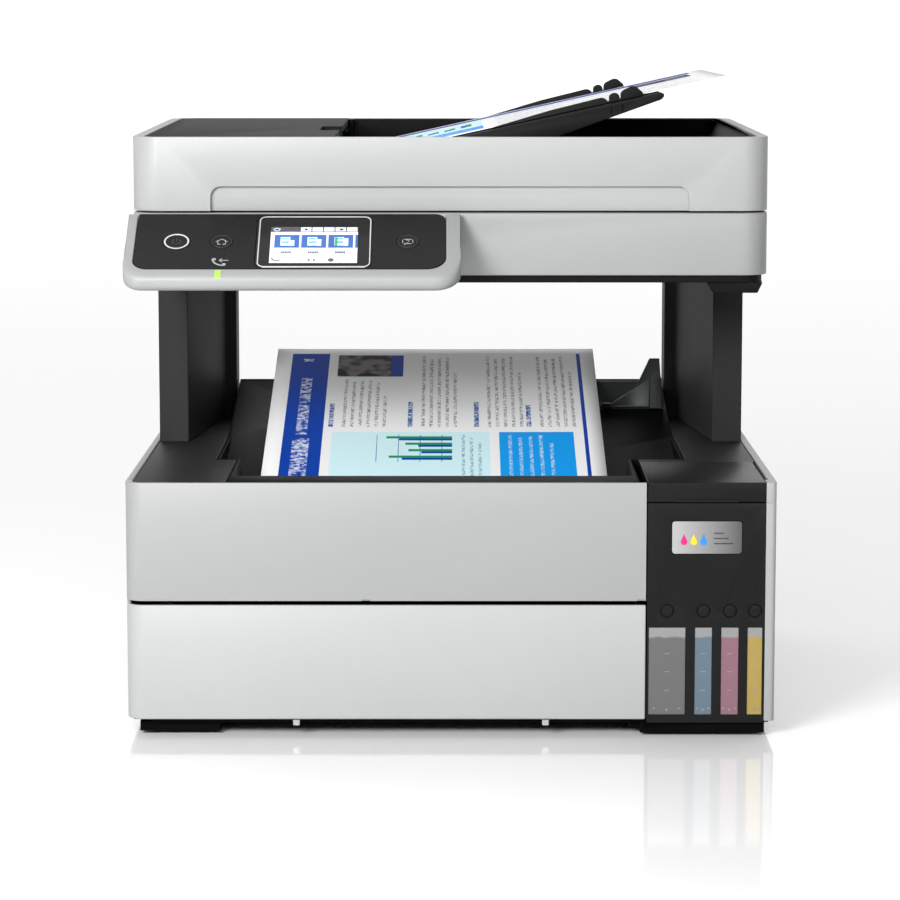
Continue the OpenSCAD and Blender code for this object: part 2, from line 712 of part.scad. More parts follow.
module output_tray() {
    lip_z0 = base_h - 3.2;
    lip_z1 = base_h - 0.3;
    pin_r = 2 - pin_gap;
    step_low = tray_step_d + 2.3;   // foot of the walls at the step
    color(dark) difference() {
        union() {
            // front lip
            along_x(tray_x0, tray_x1, [[at(wall + 0.4), lip_z0], [at(lip_d), lip_z0 + 1],
                [at(lip_d), lip_z1 - 0.2], [at(lip_d - 1), lip_z1], [at(wall + 0.4), lip_z1]]);
            // cheeks between the lip and the floor
            for (x = [tray_x0, tray_x1 - 2]) along_x(x, x + 2, [[at(wall + 1.8), lip_z0 - 8],
                [at(floor_d0), floor_z0 - floor_t], [at(step_low + 2), floor_z(step_low) - floor_t],
                [at(tray_step_d + 2), lip_z1], [at(wall + 0.9), lip_z1]]);
            // sloping floor, narrow in front and wide behind
            tray_floor(tray_x0, tray_x1, floor_d0, step_low + 1);
            tray_floor(-tray_wide, tray_wide, step_low, floor_d1);
            // walls from the floor up to the deck
            for (x = [-tray_wide, tray_wide - 2]) along_x(x, x + 2,
                [[at(step_low), floor_z(step_low) - floor_t], [at(204), floor_z(204) - floor_t],
                 [at(204), floor_z(204)], [at(203), lip_z1], [at(tray_step_d), lip_z1]]);
            // leaning walls at the step in the tray's width
            for (s = [[-tray_wide, tray_x0 + 1], [tray_x1 - 1, tray_wide]]) along_x(s[0], s[1],
                [[at(step_low), floor_z(step_low) - floor_t], [at(step_low + 2), floor_z(step_low)
                        - floor_t],
                 [at(tray_step_d + 2), lip_z1], [at(tray_step_d), lip_z1]]);
            // skirts that close the space under the raised part of the floor
            for (x = [-tray_wide, tray_wide - 2]) along_x(x, x + 2, [[at(204), base_h + 0.4],
                [at(floor_d1), base_h + 0.4], [at(floor_d1), floor_z1 - e], [at(204), floor_z(204) - e]]);
            block([-tray_wide, at(floor_d1 - 3), base_h + 0.4], [tray_wide, at(floor_d1), floor_z1]);
            // arms and pins of the hinge
            for (side = [-1, 1]) {
                rod_x(side > 0 ? 120 : -164.6, side > 0 ? 164.6 : -120, at(tray_hinge_d), tray_hinge_z,
                        pin_r);
                block([side * 130 - 8, at(tray_hinge_d - 4), tray_hinge_z - 3.4],
                    [side * 130 + 8, at(floor_d1 - 1), floor_z(tray_hinge_d - 4)]);
            }
        }
        // slot that the stopper folds in
        along_x(stopper_x0 - 1, stopper_x1 + 1, [[at(stopper_d - 2), floor_z(stopper_d) - 1.2],
            [at(stopper_d + 3), floor_z(stopper_d) - 1.2], [at(stopper_d + 9), floor_z(stopper_d + 9)],
            [at(stopper_d + 9), 170], [at(stopper_d - 2), 170]]);
    }
    // bearings of the stopper
    color(dark) for (x = stopper_bearings) difference() {
        block([x, at(stopper_axis_d - 3.4), floor_z(stopper_d) - 2], [x + bearing_w,
                at(stopper_axis_d + 2.4), 162.9]);
        rod_x(x - 1, x + bearing_w + 1, at(stopper_axis_d), stopper_axis_z, stopper_pin_r + pin_gap);
    }
}

module tray_floor(x0, x1, d0, d1) {
    along_x(x0, x1, [[at(d0), floor_z(d0) - floor_t], [at(d1), floor_z(d1) - floor_t],
        [at(d1), floor_z(d1)], [at(d0), floor_z(d0)]]);
}

// A flap across the tray, with an ear at its right end
module paper_stopper() {
    z0 = floor_z(stopper_d) + 0.2;
    t = 2;
    color([0.35, 0.38, 0.38]) {
        difference() {
            translate([0, at(stopper_d + t), 0]) rotate([90, 0, 0]) linear_extrude(t) polygon([
                [stopper_x0, z0], [stopper_x1, z0], [stopper_x1 - 2.5, ear_top], [stopper_x1 - 9, ear_top],
                [stopper_x1 - 16, stopper_top], [stopper_x0, stopper_top]]);
            // room for the tray's bearings
            for (x = stopper_bearings)
                block([x - gap, at(stopper_d - 1), z0 - 1], [x + bearing_w + gap, at(stopper_d + t + 1),
                        164.2]);
        }
        rod_x(stopper_x0, stopper_x1 - 4, at(stopper_axis_d), stopper_axis_z, stopper_pin_r);
        // gusset beside the ear
        along_x(stopper_x1 - 9, stopper_x1 - 1, [[at(stopper_d - 7), z0], [at(stopper_d + e), z0],
            [at(stopper_d + e), stopper_top + 2]]);
    }
}

module printed_page() {
    color(paper) translate([feed_x, at(page_d), page_z]) rotate([page_slope, 0, 0])
        translate([-sheet_w / 2, -sheet_l, -sheet_t / 2]) cube([sheet_w, sheet_l, sheet_t]);
}

// --- scanner ---

module scanner_case() {
    z0 = 259.6;
    rail_y = at(202);
    color(dark) {
        difference() {
            slab([-sw + 2.8, at(scan_d0 + 2.8)], [sw - 2.8, at(rear_d - 2.8)], z0, 296.6, lid_r - 2.8);
            slab([-sw + 5, at(scan_d0 + 5)], [sw - 5, at(rear_d - 5)], z0 + 2.4, 300, lid_r - 5);
        }
        // swelling under the right front corner
        difference() {
            along_y(at(55), at(120), [[150, z0 + e], [154, 253.4], [180, 253.4], [183, z0 + e]]);
            block([156, at(58), 255.6], [179, at(117), z0 + 1]);
        }
        // rail that the scan head runs on
        rod_x(-sw + 4, sw - 4, rail_y, 270, 4);
        for (x = [-sw + 4, sw - 8]) block([x, rail_y - 3, z0 + 2], [x + 4, rail_y + 3, 270]);
    }
}

module scanner_frame() {
    color(white) difference() {
        slab([-sw, at(scan_d0)], [sw, at(rear_d)], scanner_z, 300.5, lid_r);
        slab([-sw + 2.5, at(scan_d0 + 2.5)], [sw - 2.5, at(rear_d - 2.5)], scanner_z - 1, 296.8,
                lid_r - 2.5);
        // opening under the glass, and the glass's seat
        block([glass_x[0] + 5, at(glass_d[0] + 5), 290], [glass_x[1] - 5, at(glass_d[1] - 5), 301]);
        block([glass_x[0] - 0.2, at(glass_d[0] - 0.2), 298.4], [glass_x[1] + 0.2, at(glass_d[1] + 0.2),
                301]);
        // opening of the feeder's reading strip
        block([-177, at(glass_d[0]), 290], [-170, at(glass_d[1]), 301]);
    }
    // brackets and pins of the control panel
    color(white) for (x = [-150, -34]) {
        rod_x(x, x + 8, at(panel_hinge_d), panel_hinge_z, panel_pin_r + 0.2);
        block([x, at(panel_hinge_d), panel_hinge_z - 1.7], [x + 8, at(scan_d0 + 1), panel_hinge_z + 1.2]);
        rod_x(x - 4, x + 12, at(panel_hinge_d), panel_hinge_z, panel_pin_r);
    }
}

module scan_glass() {
    color([0.7, 0.8, 0.8, 0.4]) {
        block([glass_x[0], at(glass_d[0]), 298.4], [glass_x[1], at(glass_d[1]), 300.3]);
        block([-176.8, at(glass_d[0] + 0.2), 297.6], [-170.2, at(glass_d[1] - 0.2), 300.3]);
    }
}

module scan_carriage() {
    color([0.15, 0.15, 0.16]) difference() {
        block([-162, at(88), 272], [-146, at(317), 294]);
        block([-158, at(95), 290], [-150, at(310), 295]);
        // groove over the rail
        rod_x(-163, -145, at(202), 270, 4.4);
        block([-163, at(197.6), 269], [-145, at(206.4), 272.6]);
    }
}

module lid_hinges() {
    color(dark) for (x = hinge_x) {
        block([x - 8, at(lid_axis_d - 4), 300.5], [x + 8, at(lid_axis_d + 2.4), lid_axis_z + 3]);
        rod_x(x - 12, x + 12, at(lid_axis_d), lid_axis_z, lid_pin_r);
    }
}

// --- control panel ---

// Outline of the panel's side in Y and Z; t moves every edge inwards
function panel_side(t) = [
    [at(47.2 - t), 300.3 - 1.9 * t], [at(0.4 + 0.2 * t), 270.9 - 1.2 * t], [at(-2.4 + t), 268.6 - 0.6 * t],
    [at(-3.5 + t), 265.4], [at(-2.2 + t), 261 + t], [at(1 + 0.4 * t), 259.3 + t], [at(12), 260.5 + t],
    [at(47.2 - t), 281 + t]];

module panel_frame() {
    color(white) difference() {
        along_x(panel_x0, panel_x1, panel_side(0));
        along_x(panel_x0 + wall, panel_x1 - wall, panel_side(2.4));
        // opening that the face closes
        on_panel() translate([0, 0, -2.6]) linear_extrude(10)
            round_rect([face_x0, -face_l - 0.2], [face_x1, 2], 4);
        // room for the scanner's brackets, and the bores of their pins
        for (x = [-150, -34]) {
            block([x - 0.6, at(41), panel_hinge_z - 7], [x + 8.6, at(52), panel_hinge_z + 8]);
            rod_x(x - 5, x + 13, at(panel_hinge_d), panel_hinge_z, panel_pin_r + pin_gap);
        }
        // seat of the status light
        translate([-132.4, at(-1), 269.5]) rotate([90, 0, 0]) cylinder(h = 6, r = 0.9);
    }
    // bearings of the panel's hinge
    color(white) for (x = [-150, -34], side = [-3.4, 8.8]) difference() {
        block([x + side, at(panel_hinge_d - 1.8), panel_hinge_z - 4.5],
            [x + side + 2.6, at(47.2), panel_hinge_z + 1.3]);
        rod_x(x + side - 1, x + side + 4, at(panel_hinge_d), panel_hinge_z, panel_pin_r + pin_gap);
    }
}

module panel_face() {
    color([0.08, 0.08, 0.085]) on_panel() difference() {
        translate([0, 0, -1.9]) linear_extrude(2.1) round_rect([face_x0 + 0.3, -face_l], [face_x1 - 0.3,
                -1.2], 4);
        // seats of the screen and of the buttons
        translate([0, 0, -1]) linear_extrude(3) round_rect([-111.9, -53.5], [-45.3, -4], 4);
        translate([power_x, -button_l, -3]) cylinder(h = 5, r = power_d / 2 + gap);
        for (x = [home_x, help_x]) translate([x, -button_l, -3]) cylinder(h = 5,
                r = small_button_d / 2 + gap);
    }
}

module panel_screen() {
    color([0.05, 0.05, 0.06]) on_panel() translate([0, 0, -0.9]) linear_extrude(1.4)
        round_rect([-111.7, -53.3], [-45.5, -4.2], 3.8);
}

module panel_button(x, d) {
    on_panel() translate([x, -button_l, -1.9]) cylinder(h = 2.3, r = d / 2);
}

module power_button() color([0.1, 0.1, 0.11]) panel_button(power_x, power_d);
module home_button() color([0.1, 0.1, 0.11]) panel_button(home_x, small_button_d);
module help_button() color([0.1, 0.1, 0.11]) panel_button(help_x, small_button_d);

// --- lid with the document feeder ---

// What lies above the lid's sloping top, with the top moved down by drop
module above_lid(drop) {
    d0 = scan_d0 - 5;
    d1 = rear_d + 5;
    along_x(-sw - 1, sw + 1, [[at(d0), lid_top_at(d0) - drop], [at(d1), lid_top_at(d1) - drop],
        [at(d1), lid_top + 20], [at(d0), lid_top + 20]]);
}

// A rod on the feeder cover's hinge axis, from d rearwards
module lid_pin(d, l, r) {
    translate([adf_axis_x, at(d), lid_top_at(d) - adf_axis_drop]) rotate([lid_tilt - 90, 0, 0])
            cylinder(h = l, r = r);
}

module adf_frame() {
    color(white) difference() {
        slab([-sw, at(scan_d0)], [sw, at(rear_d)], lid_z, lid_top + lid_rise, lid_r);
        above_lid(0);
        slab([-sw + 3, at(scan_d0 + 6.4)], [sw - 3, at(rear_d - 3)], lid_z + 2.4, lid_top - 7, lid_r - 6);
        slab([-sw + rim_w, at(scan_d0 + 6.4)], [sw - rim_w, at(rear_d - 3)], lid_z + 2.4, lid_top + 9,
                lid_r - 6);
        // seat of the backing pad, and the slot of the feeder's reading strip
        block([glass_x[0] + 2, at(glass_d[0] + 2), lid_z - 1], [glass_x[1] - 2, at(glass_d[1] - 2),
                lid_z + 3]);
        block([-178, at(glass_d[0]), lid_z - 1], [-169, at(glass_d[1]), lid_z + 3]);
        // grip recess in the front
        translate([0, at(scan_d0 + 3.2), 0]) rotate([90, 0, 0]) linear_extrude(5)
            round_rect([-140, lid_z - 8], [139, 316], 6);
        // notches for the hinges
        for (x = hinge_x) block([x - 8.6, at(lid_axis_d - 6), lid_z - 1], [x + 8.6, at(rear_d + 1), 320]);
        for (x = hinge_x) rod_x(x - 13, x + 13, at(lid_axis_d), lid_axis_z, lid_pin_r + pin_gap);
        // bores of the feeder cover's pins
        lid_pin(scan_d0 + 3.6, 8, 0.9 + pin_gap);
        lid_pin(rear_d - 7.6, 7.2, 0.9 + pin_gap);
    }
    // bearings of the hinge pins
    color(white) for (x = hinge_x, side = [-12.4, 8.6]) difference() {
        block([x + side, at(lid_axis_d - 4), lid_z + 2], [x + side + 3.8, at(rear_d - 2), lid_axis_z + 4]);
        rod_x(x + side - 1, x + side + 5, at(lid_axis_d), lid_axis_z, lid_pin_r + pin_gap);
    }
}

module adf_top() {
    z1 = lid_top + lid_rise;
    x1 = sw - rim_w - 0.6;
    d0 = scan_d0 + 7;
    d1 = rear_d - 3.6;
    color(dark) difference() {
        slab([-x1, at(d0)], [x1, at(d1)], lid_z + 2.6, z1, lid_r - 7);
        above_lid(0.3);
        // feeder chamber under the cover
        block([-x1 + 3, at(d0 + 5), 310], [recess_x0 - 3, at(d1 - 5), z1 + 1]);
        // the cover's seat
        block([-x1 - 1, at(d0 - 1), 337.4], [recess_x0 - 3, at(d1 + 1), z1 + 1]);
        // output recess with a sloping right wall
        along_y(at(d0 + 5), at(d1 - 5), [[recess_x0, recess_floor], [161, recess_floor],
            [x1 - 1.4, lid_top - 0.5], [x1 - 1.4, z1 + 1], [recess_x0, z1 + 1]]);
        // mouth between the chamber and the recess
        block([recess_x0 - 4, at(74), 319], [recess_x0 + 1, at(326), z1 + 1]);
        // seats of the hinges, and the well over the reading strip
        for (x = hinge_x) block([x - 13, at(330), lid_z], [x + 13, at(d1 + 1), 321]);
        block([-178, at(glass_d[0]), lid_z], [-169, at(glass_d[1]), 311]);
        // bores of the input tray's and the roller's pins
        rod_y(intray_axis_x, at(d0 + 1), at(d1 - 1), intray_axis_z, 2 + pin_gap);
        rod_y(adf_roller_x, at(d0 + 1), at(d1 - 1), adf_roller_z, 2 + pin_gap);
        // hollow underside
        block([recess_x0 + 5, at(d0 + 8), lid_z], [156, at(d1 - 20), recess_floor - 3]);
    }
}

module backing_pad() {
    color(paper) block([glass_x[0] + 2.4, at(glass_d[0] + 2.4), 300.8],
        [glass_x[1] - 2.4, at(glass_d[1] - 2.4), lid_z + 2.3]);
}

module adf_cover() {
    x0 = -sw + rim_w + 0.7;
    x1 = recess_x0 - 3.4;
    d0 = scan_d0 + 7.4;
    d1 = rear_d - 4;
    scoop = [[x1 - 12.5, 150], [x1, 207]];
    color(dark) {
        difference() {
            union() {
                difference() {
                    union() {
                        // shell, open below and to the right
                        slab([x0, at(d0)], [x1, at(d1)], 338, lid_top + lid_rise, 10);
                        block([x1 - 12, at(d0), 341], [x1, at(d1), lid_top + lid_rise]);
                    }
                    block([x0 + 3, at(d0 + 3), 330], [x1 + 1, at(d1 - 3), lid_top - 2.4]);
                }
                // pocket for a finger at the right-hand edge
                block([scoop[0].x - 1.5, at(scoop[0].y - 1.5), 335], [x1, at(scoop[1].y + 1.5),
                        lid_top - 1]);
            }
            block([scoop[0].x, at(scoop[0].y), 336.5], [x1 + 1, at(scoop[1].y), lid_top + 9]);
            above_lid(0);
        }
        // hinge pins
        for (d = [d0 - 3.2, d1 - 6]) lid_pin(d, 9.2, 0.9);
    }
}

// Input tray: a sloping plate between two tapering side walls, on pins at its left end
module adf_input_tray() {
    d0 = 80;
    d1 = 320;
    tip = 126;
    function top_z(x) = doc_height(x) - 0.7;
    color(dark) {
        // plate, with a thicker rounded end
        along_y(at(d0), at(d1), [[-48, top_z(-48)], [-48, top_z(-48) - 2], [112, top_z(112) - 2],
            [113, top_z(113) - 4.4], [122.6, top_z(122.6) - 4.4], [124.6, top_z(124.6) - 3.9],
            [tip - 0.3, top_z(tip) - 3], [tip, top_z(tip) - 2], [tip - 0.3, top_z(tip) - 1],
            [124.8, top_z(124.8) - 0.3], [123, top_z(123)]]);
        // side walls, with two grooves that carry on the slots of the guides
        difference() {
            for (d = [d0, d1 - 2.4]) along_y(at(d), at(d + 2.4), [[-48, top_z(-48) - e], [-49, 324],
                    [-44, 321.4],
                [10, 329], [64, 344], [122.6, top_z(122.6) - 4.3], [122.6, top_z(122.6) - e]]);
            for (x = [95.1, 101.7])
                block([x - 0.4, at(d0 - 1), top_z(x) - 5.6], [x + 0.4, at(d0 + 0.6), top_z(x) - 2.2]);
        }
        for (d = [59.5, d1 - 3]) rod_y(intray_axis_x, at(d), at(d + 21.5), intray_axis_z, 2);
    }
}

// An edge guide: a fence that ends in three rounded ears. Its points are [x, height above the sheet]
module adf_guide(d, t, lift) {
    ears = [[60, -0.3], [88.6, 0.5], [90.4, 0.2], [91.8, -0.7], [92.6, -1.6],
        [93.4, -2.6], [93.9, -2.6], [94, 0.2], [94.7, 1.2], [96.2, 1.7], [97.8, 1.5], [99, 0.8], [99.9,
                -0.6],
        [100.3, -2.6], [100.8, -2.6], [100.9, 0.4], [101.5, 1.5], [102.6, 2.2], [106.8, 3.3], [108.6,
                3.1], [110, 2.4],
        [113.6, -1.4]];
    fence = [for (p = ears) [p[0], doc_height(p[0]) + max(p[1] + lift, -0.2)]];
    color(dark) along_y(at(d), at(d + t), concat([[24, doc_height(24) - 0.4], [24, doc_height(24)
            + 0.2]], fence,
        [[114.4, doc_height(114.4) - 0.4]]));
}

module adf_guide_front() adf_guide(doc_d[0] - 0.5 - 6, 6, 3.2);
module adf_guide_rear() adf_guide(doc_d[1] + 0.5, 6, 3.4);

module adf_document() {
    color(paper) translate([doc_right, at(doc_d[0]), doc_height(doc_right)]) rotate([0, -doc_slope, 0])
        translate([-sheet_l, 0, 0]) cube([sheet_l, doc_d[1] - doc_d[0], sheet_t]);
}

module adf_pickup_roller() {
    color(rubber) {
        rod_y(adf_roller_x, at(60), at(338), adf_roller_z, 2);
        rod_y(adf_roller_x, at(180), at(220), adf_roller_z, 8);
    }
}

module rear_cover() {
    color(dark) {
        block([-135.4, at(rear_d - 4.5), 26.6], [115.4, at(rear_d - 0.1), 131.4]);
        // ribs that turn the sheet, inside the machine
        difference() {
            for (i = [0 : 4]) block([-118 + i * 52, at(rear_d - 22), 40], [-115 + i * 52, at(rear_d - 4),
                    118]);
            rod_x(-130, 110, at(rear_d - 26), 79, 14);
        }
    }
}

base_tray();
left_side_cover();
right_side_cover();
front_cover();
rear_panel();
top_deck();
left_column();
right_column();
ink_tank_housing();
ink_tank_black();
ink_tank_colour();
engine_frame();
carriage_belt();
drive_motors();
paper_guide();
capping_station();
main_board();
power_supply();
feet();
scanner_case();
scanner_frame();
scan_glass();
lid_hinges();
print_carriage();
print_head();
motor_pulley();
idler_pulley();
feed_roller();
motor_pinion();
exit_roller();
pickup_roller();
cassette_tray();
cassette_front();
cassette_guide_left();
cassette_guide_right();
output_tray();
paper_stopper();
printed_page();
tank_lid();
tank_cap_black();
tank_cap_cyan();
tank_cap_magenta();
tank_cap_yellow();
panel_frame();
panel_face();
panel_screen();
power_button();
home_button();
help_button();
adf_frame();
adf_top();
backing_pad();
adf_cover();
adf_input_tray();
adf_guide_front();
adf_guide_rear();
adf_document();
adf_pickup_roller();
scan_carriage();
rear_cover();
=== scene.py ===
import json
import math

import bmesh
import bpy
from mathutils import Matrix, Vector


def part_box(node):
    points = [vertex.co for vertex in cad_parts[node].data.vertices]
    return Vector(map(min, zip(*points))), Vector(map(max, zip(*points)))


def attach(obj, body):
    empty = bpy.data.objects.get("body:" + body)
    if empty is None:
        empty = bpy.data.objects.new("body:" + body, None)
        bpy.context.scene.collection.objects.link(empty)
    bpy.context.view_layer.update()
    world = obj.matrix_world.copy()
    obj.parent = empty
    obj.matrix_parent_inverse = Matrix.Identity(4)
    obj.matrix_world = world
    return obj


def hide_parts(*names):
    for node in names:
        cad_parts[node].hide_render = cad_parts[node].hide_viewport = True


# Looks of a desktop inkjet printer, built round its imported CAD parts.
# Everything is in metres, and MM turns a size in mm into metres.
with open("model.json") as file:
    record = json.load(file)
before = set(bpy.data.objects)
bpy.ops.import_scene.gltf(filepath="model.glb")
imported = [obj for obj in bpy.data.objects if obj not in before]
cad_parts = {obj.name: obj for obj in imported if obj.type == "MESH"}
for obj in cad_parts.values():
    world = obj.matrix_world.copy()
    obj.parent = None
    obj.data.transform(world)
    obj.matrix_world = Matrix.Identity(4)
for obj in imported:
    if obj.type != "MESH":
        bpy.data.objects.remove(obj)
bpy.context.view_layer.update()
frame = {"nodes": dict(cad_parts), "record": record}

MM = 0.001
FRONT_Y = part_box("front_cover")[0].y        # the base's front face
PAPER_W, PAPER_L, PAPER_T = 210.0, 297.0, 0.4
BADGE_X0, BADGE_X1 = 127.5, 167.6           # sides of the badge's plate


def at(d):
    """y of a point d mm behind the base's front face."""
    return FRONT_Y + d * MM


# ---------------------------------------------------------------- materials

def node_material(name):
    """A new material: its node tree, its shader and its texture coordinates."""
    material = bpy.data.materials.new(name)
    material.use_nodes = True
    tree = material.node_tree
    shader = tree.nodes["Principled BSDF"]
    coordinates = tree.nodes.new("ShaderNodeTexCoord")
    return material, tree, shader, coordinates.outputs["Object"]


def noise(tree, where, scale, detail=2.0, squeeze=(1, 1, 1)):
    """The Fac output of a noise of that scale per metre, squeezed along an axis for grain."""
    mapping = tree.nodes.new("ShaderNodeMapping")
    mapping.inputs["Scale"].default_value = squeeze
    tree.links.new(where, mapping.inputs["Vector"])
    texture = tree.nodes.new("ShaderNodeTexNoise")
    texture.inputs["Scale"].default_value = scale
    texture.inputs["Detail"].default_value = detail
    tree.links.new(mapping.outputs["Vector"], texture.inputs["Vector"])
    return texture.outputs["Fac"]


def spread(tree, fac, low, high):
    """Maps a noise's middle range to low..high."""
    ranged = tree.nodes.new("ShaderNodeMapRange")
    ranged.inputs["From Min"].default_value = 0.3
    ranged.inputs["From Max"].default_value = 0.7
    ranged.inputs["To Min"].default_value = low
    ranged.inputs["To Max"].default_value = high
    tree.links.new(fac, ranged.inputs["Value"])
    return ranged.outputs["Result"]


def two_tone(tree, fac, first, second, edges=(0.35, 0.65)):
    """Colour that goes from first to second between the two edges."""
    ramp = tree.nodes.new("ShaderNodeValToRGB")
    ramp.color_ramp.interpolation = "LINEAR"
    for stop, place, colour in zip(ramp.color_ramp.elements, edges, (first, second)):
        stop.position = place
        stop.color = (*colour, 1)
    tree.links.new(fac, ramp.inputs["Fac"])
    return ramp.outputs["Color"]


def add_bump(tree, shader, height, strength, distance):
    """Lets a noise stand out of the surface, by distance in metres at full strength."""
    bump = tree.nodes.new("ShaderNodeBump")
    bump.inputs["Strength"].default_value = strength
    bump.inputs["Distance"].default_value = distance
    tree.links.new(height, bump.inputs["Height"])
    tree.links.new(bump.outputs["Normal"], shader.inputs["Normal"])


def shade(colour, factor):
    """The colour made lighter or darker."""
    return tuple(c * factor for c in colour)


def moulded(name, colour, roughness=0.42, grain=0.5, tone=0.04, grain_scale=1500, gloss=0.5):
    """Moulded plastic: a fine spark-eroded grain, uneven gloss and a slight drift in tone."""
    material, tree, shader, where = node_material(name)
    drift = noise(tree, where, 9)
    tint = two_tone(tree, drift, shade(colour, 1 - tone), shade(colour, 1 + tone))
    tree.links.new(tint, shader.inputs["Base Color"])
    fine = noise(tree, where, grain_scale, 3)
    tree.links.new(spread(tree, fine, roughness - 0.05, roughness + 0.06), shader.inputs["Roughness"])
    shader.inputs["Specular IOR Level"].default_value = gloss
    add_bump(tree, shader, fine, grain, 0.04 * MM)
    return material


def glossy(name, colour, roughness=0.12, emission=0.0, gloss=0.5):
    """Polished plastic with faint dust and smears in its gloss."""
    material, tree, shader, where = node_material(name)
    drift = noise(tree, where, 30, 4)
    tint = two_tone(tree, drift, shade(colour, 0.92), shade(colour, 1.08))
    tree.links.new(tint, shader.inputs["Base Color"])
    tree.links.new(spread(tree, drift, roughness * 0.7, roughness * 1.4), shader.inputs["Roughness"])
    shader.inputs["Specular IOR Level"].default_value = gloss
    if emission:
        shader.inputs["Emission Color"].default_value = (*colour, 1)
        shader.inputs["Emission Strength"].default_value = emission
    return material


def metal(name, colour, roughness=0.3, squeeze=(1, 1, 1)):
    """Metal with a directional grain where squeeze stretches the noise."""
    material, tree, shader, where = node_material(name)
    shader.inputs["Metallic"].default_value = 1.0
    grain = noise(tree, where, 600, 4, squeeze)
    tint = two_tone(tree, grain, shade(colour, 0.86), shade(colour, 1.08))
    tree.links.new(tint, shader.inputs["Base Color"])
    tree.links.new(spread(tree, grain, roughness - 0.08, roughness + 0.1), shader.inputs["Roughness"])
    add_bump(tree, shader, grain, 0.2, 0.02 * MM)
    return material


def clear(name, colour, roughness=0.03):
    """Clear glass with faint marks from cleaning."""
    material, tree, shader, where = node_material(name)
    shader.inputs["Transmission Weight"].default_value = 1.0
    shader.inputs["IOR"].default_value = 1.49
    drift = noise(tree, where, 60, 3)
    tint = two_tone(tree, drift, shade(colour, 0.95), colour)
    tree.links.new(tint, shader.inputs["Base Color"])
    tree.links.new(spread(tree, drift, roughness, roughness * 2), shader.inputs["Roughness"])
    return material


def paper(name, colour, words=None, scale=620, gaps=(1.25, -0.35)):
    """Office paper with fibres in it; words, if given, is the ink of broken lines in place of text."""
    material, tree, shader, where = node_material(name)
    fibres = noise(tree, where, 900, 4)
    tint = two_tone(tree, fibres, shade(colour, 0.97), colour)
    if words:
        breaks = noise(tree, where, scale, 1)
        ramp = tree.nodes.new("ShaderNodeMix")
        ramp.data_type = "RGBA"
        tree.links.new(spread(tree, breaks, *gaps), ramp.inputs["Factor"])
        tree.links.new(tint, ramp.inputs["A"])
        ramp.inputs["B"].default_value = (*words, 1)
        tint = ramp.outputs["Result"]
    tree.links.new(tint, shader.inputs["Base Color"])
    shader.inputs["Roughness"].default_value = 0.62
    shader.inputs["Specular IOR Level"].default_value = 0.08
    add_bump(tree, shader, fibres, 0.12, 0.03 * MM)
    return material


def faded_plate(name, left, right, x0, x1):
    """Brushed silver lacquer that goes from one tone to another along x."""
    material, tree, shader, where = node_material(name)
    grain = noise(tree, where, 300, 2, (1, 1, 25))
    axes = tree.nodes.new("ShaderNodeSeparateXYZ")
    tree.links.new(where, axes.inputs["Vector"])
    along = tree.nodes.new("ShaderNodeMapRange")
    along.inputs["From Min"].default_value = x0
    along.inputs["From Max"].default_value = x1
    tree.links.new(axes.outputs["X"], along.inputs["Value"])
    tint = two_tone(tree, along.outputs["Result"], left, right, (0.0, 1.0))
    tree.links.new(tint, shader.inputs["Base Color"])
    tree.links.new(spread(tree, grain, 0.3, 0.42), shader.inputs["Roughness"])
    shader.inputs["Specular IOR Level"].default_value = 0.4
    return material


def ink_tank(name, inks, level):
    """Cloudy tank walls over ink: a colour for each stretch of x, and empty wall above the level."""
    material, tree, shader, where = node_material(name)
    axes = tree.nodes.new("ShaderNodeSeparateXYZ")
    tree.links.new(where, axes.inputs["Vector"])
    low, high = 0.1, 0.2        # the stretch of x, in metres, that holds all the tanks
    along = tree.nodes.new("ShaderNodeMapRange")
    along.inputs["From Min"].default_value = low
    along.inputs["From Max"].default_value = high
    tree.links.new(axes.outputs["X"], along.inputs["Value"])
    ramp = tree.nodes.new("ShaderNodeValToRGB")
    ramp.color_ramp.interpolation = "CONSTANT"
    stops = ramp.color_ramp.elements
    while len(stops) < len(inks):
        stops.new(1.0)
    for stop, (x, colour) in zip(stops, inks):
        stop.position = max(0.0, (x * MM - low) / (high - low))
        stop.color = (*colour, 1)
    tree.links.new(along.outputs["Result"], ramp.inputs["Fac"])
    waves = spread(tree, noise(tree, where, 160, 1), -0.4 * MM, 0.4 * MM)
    height = tree.nodes.new("ShaderNodeMath")
    height.operation = "ADD"
    tree.links.new(axes.outputs["Z"], height.inputs[0])
    tree.links.new(waves, height.inputs[1])
    surface = tree.nodes.new("ShaderNodeMapRange")
    surface.inputs["From Min"].default_value = (level - 0.5) * MM
    surface.inputs["From Max"].default_value = (level + 0.7) * MM
    tree.links.new(height.outputs["Value"], surface.inputs["Value"])
    mix = tree.nodes.new("ShaderNodeMix")
    mix.data_type = "RGBA"
    tree.links.new(surface.outputs["Result"], mix.inputs["Factor"])
    tree.links.new(ramp.outputs["Color"], mix.inputs["A"])
    mix.inputs["B"].default_value = (0.225, 0.225, 0.228, 1)
    tree.links.new(mix.outputs["Result"], shader.inputs["Base Color"])
    shader.inputs["Roughness"].default_value = 0.24
    shader.inputs["Coat Weight"].default_value = 0.25
    add_bump(tree, shader, noise(tree, where, 700, 2), 0.1, 0.02 * MM)
    return material


WHITE = (0.315, 0.318, 0.319)
SHEET = (0.93, 0.93, 0.935)
NAVY = (0.002, 0.05, 0.4)
SKY = (0.66, 0.92, 0.97)
BLUE = (0.004, 0.34, 0.88)

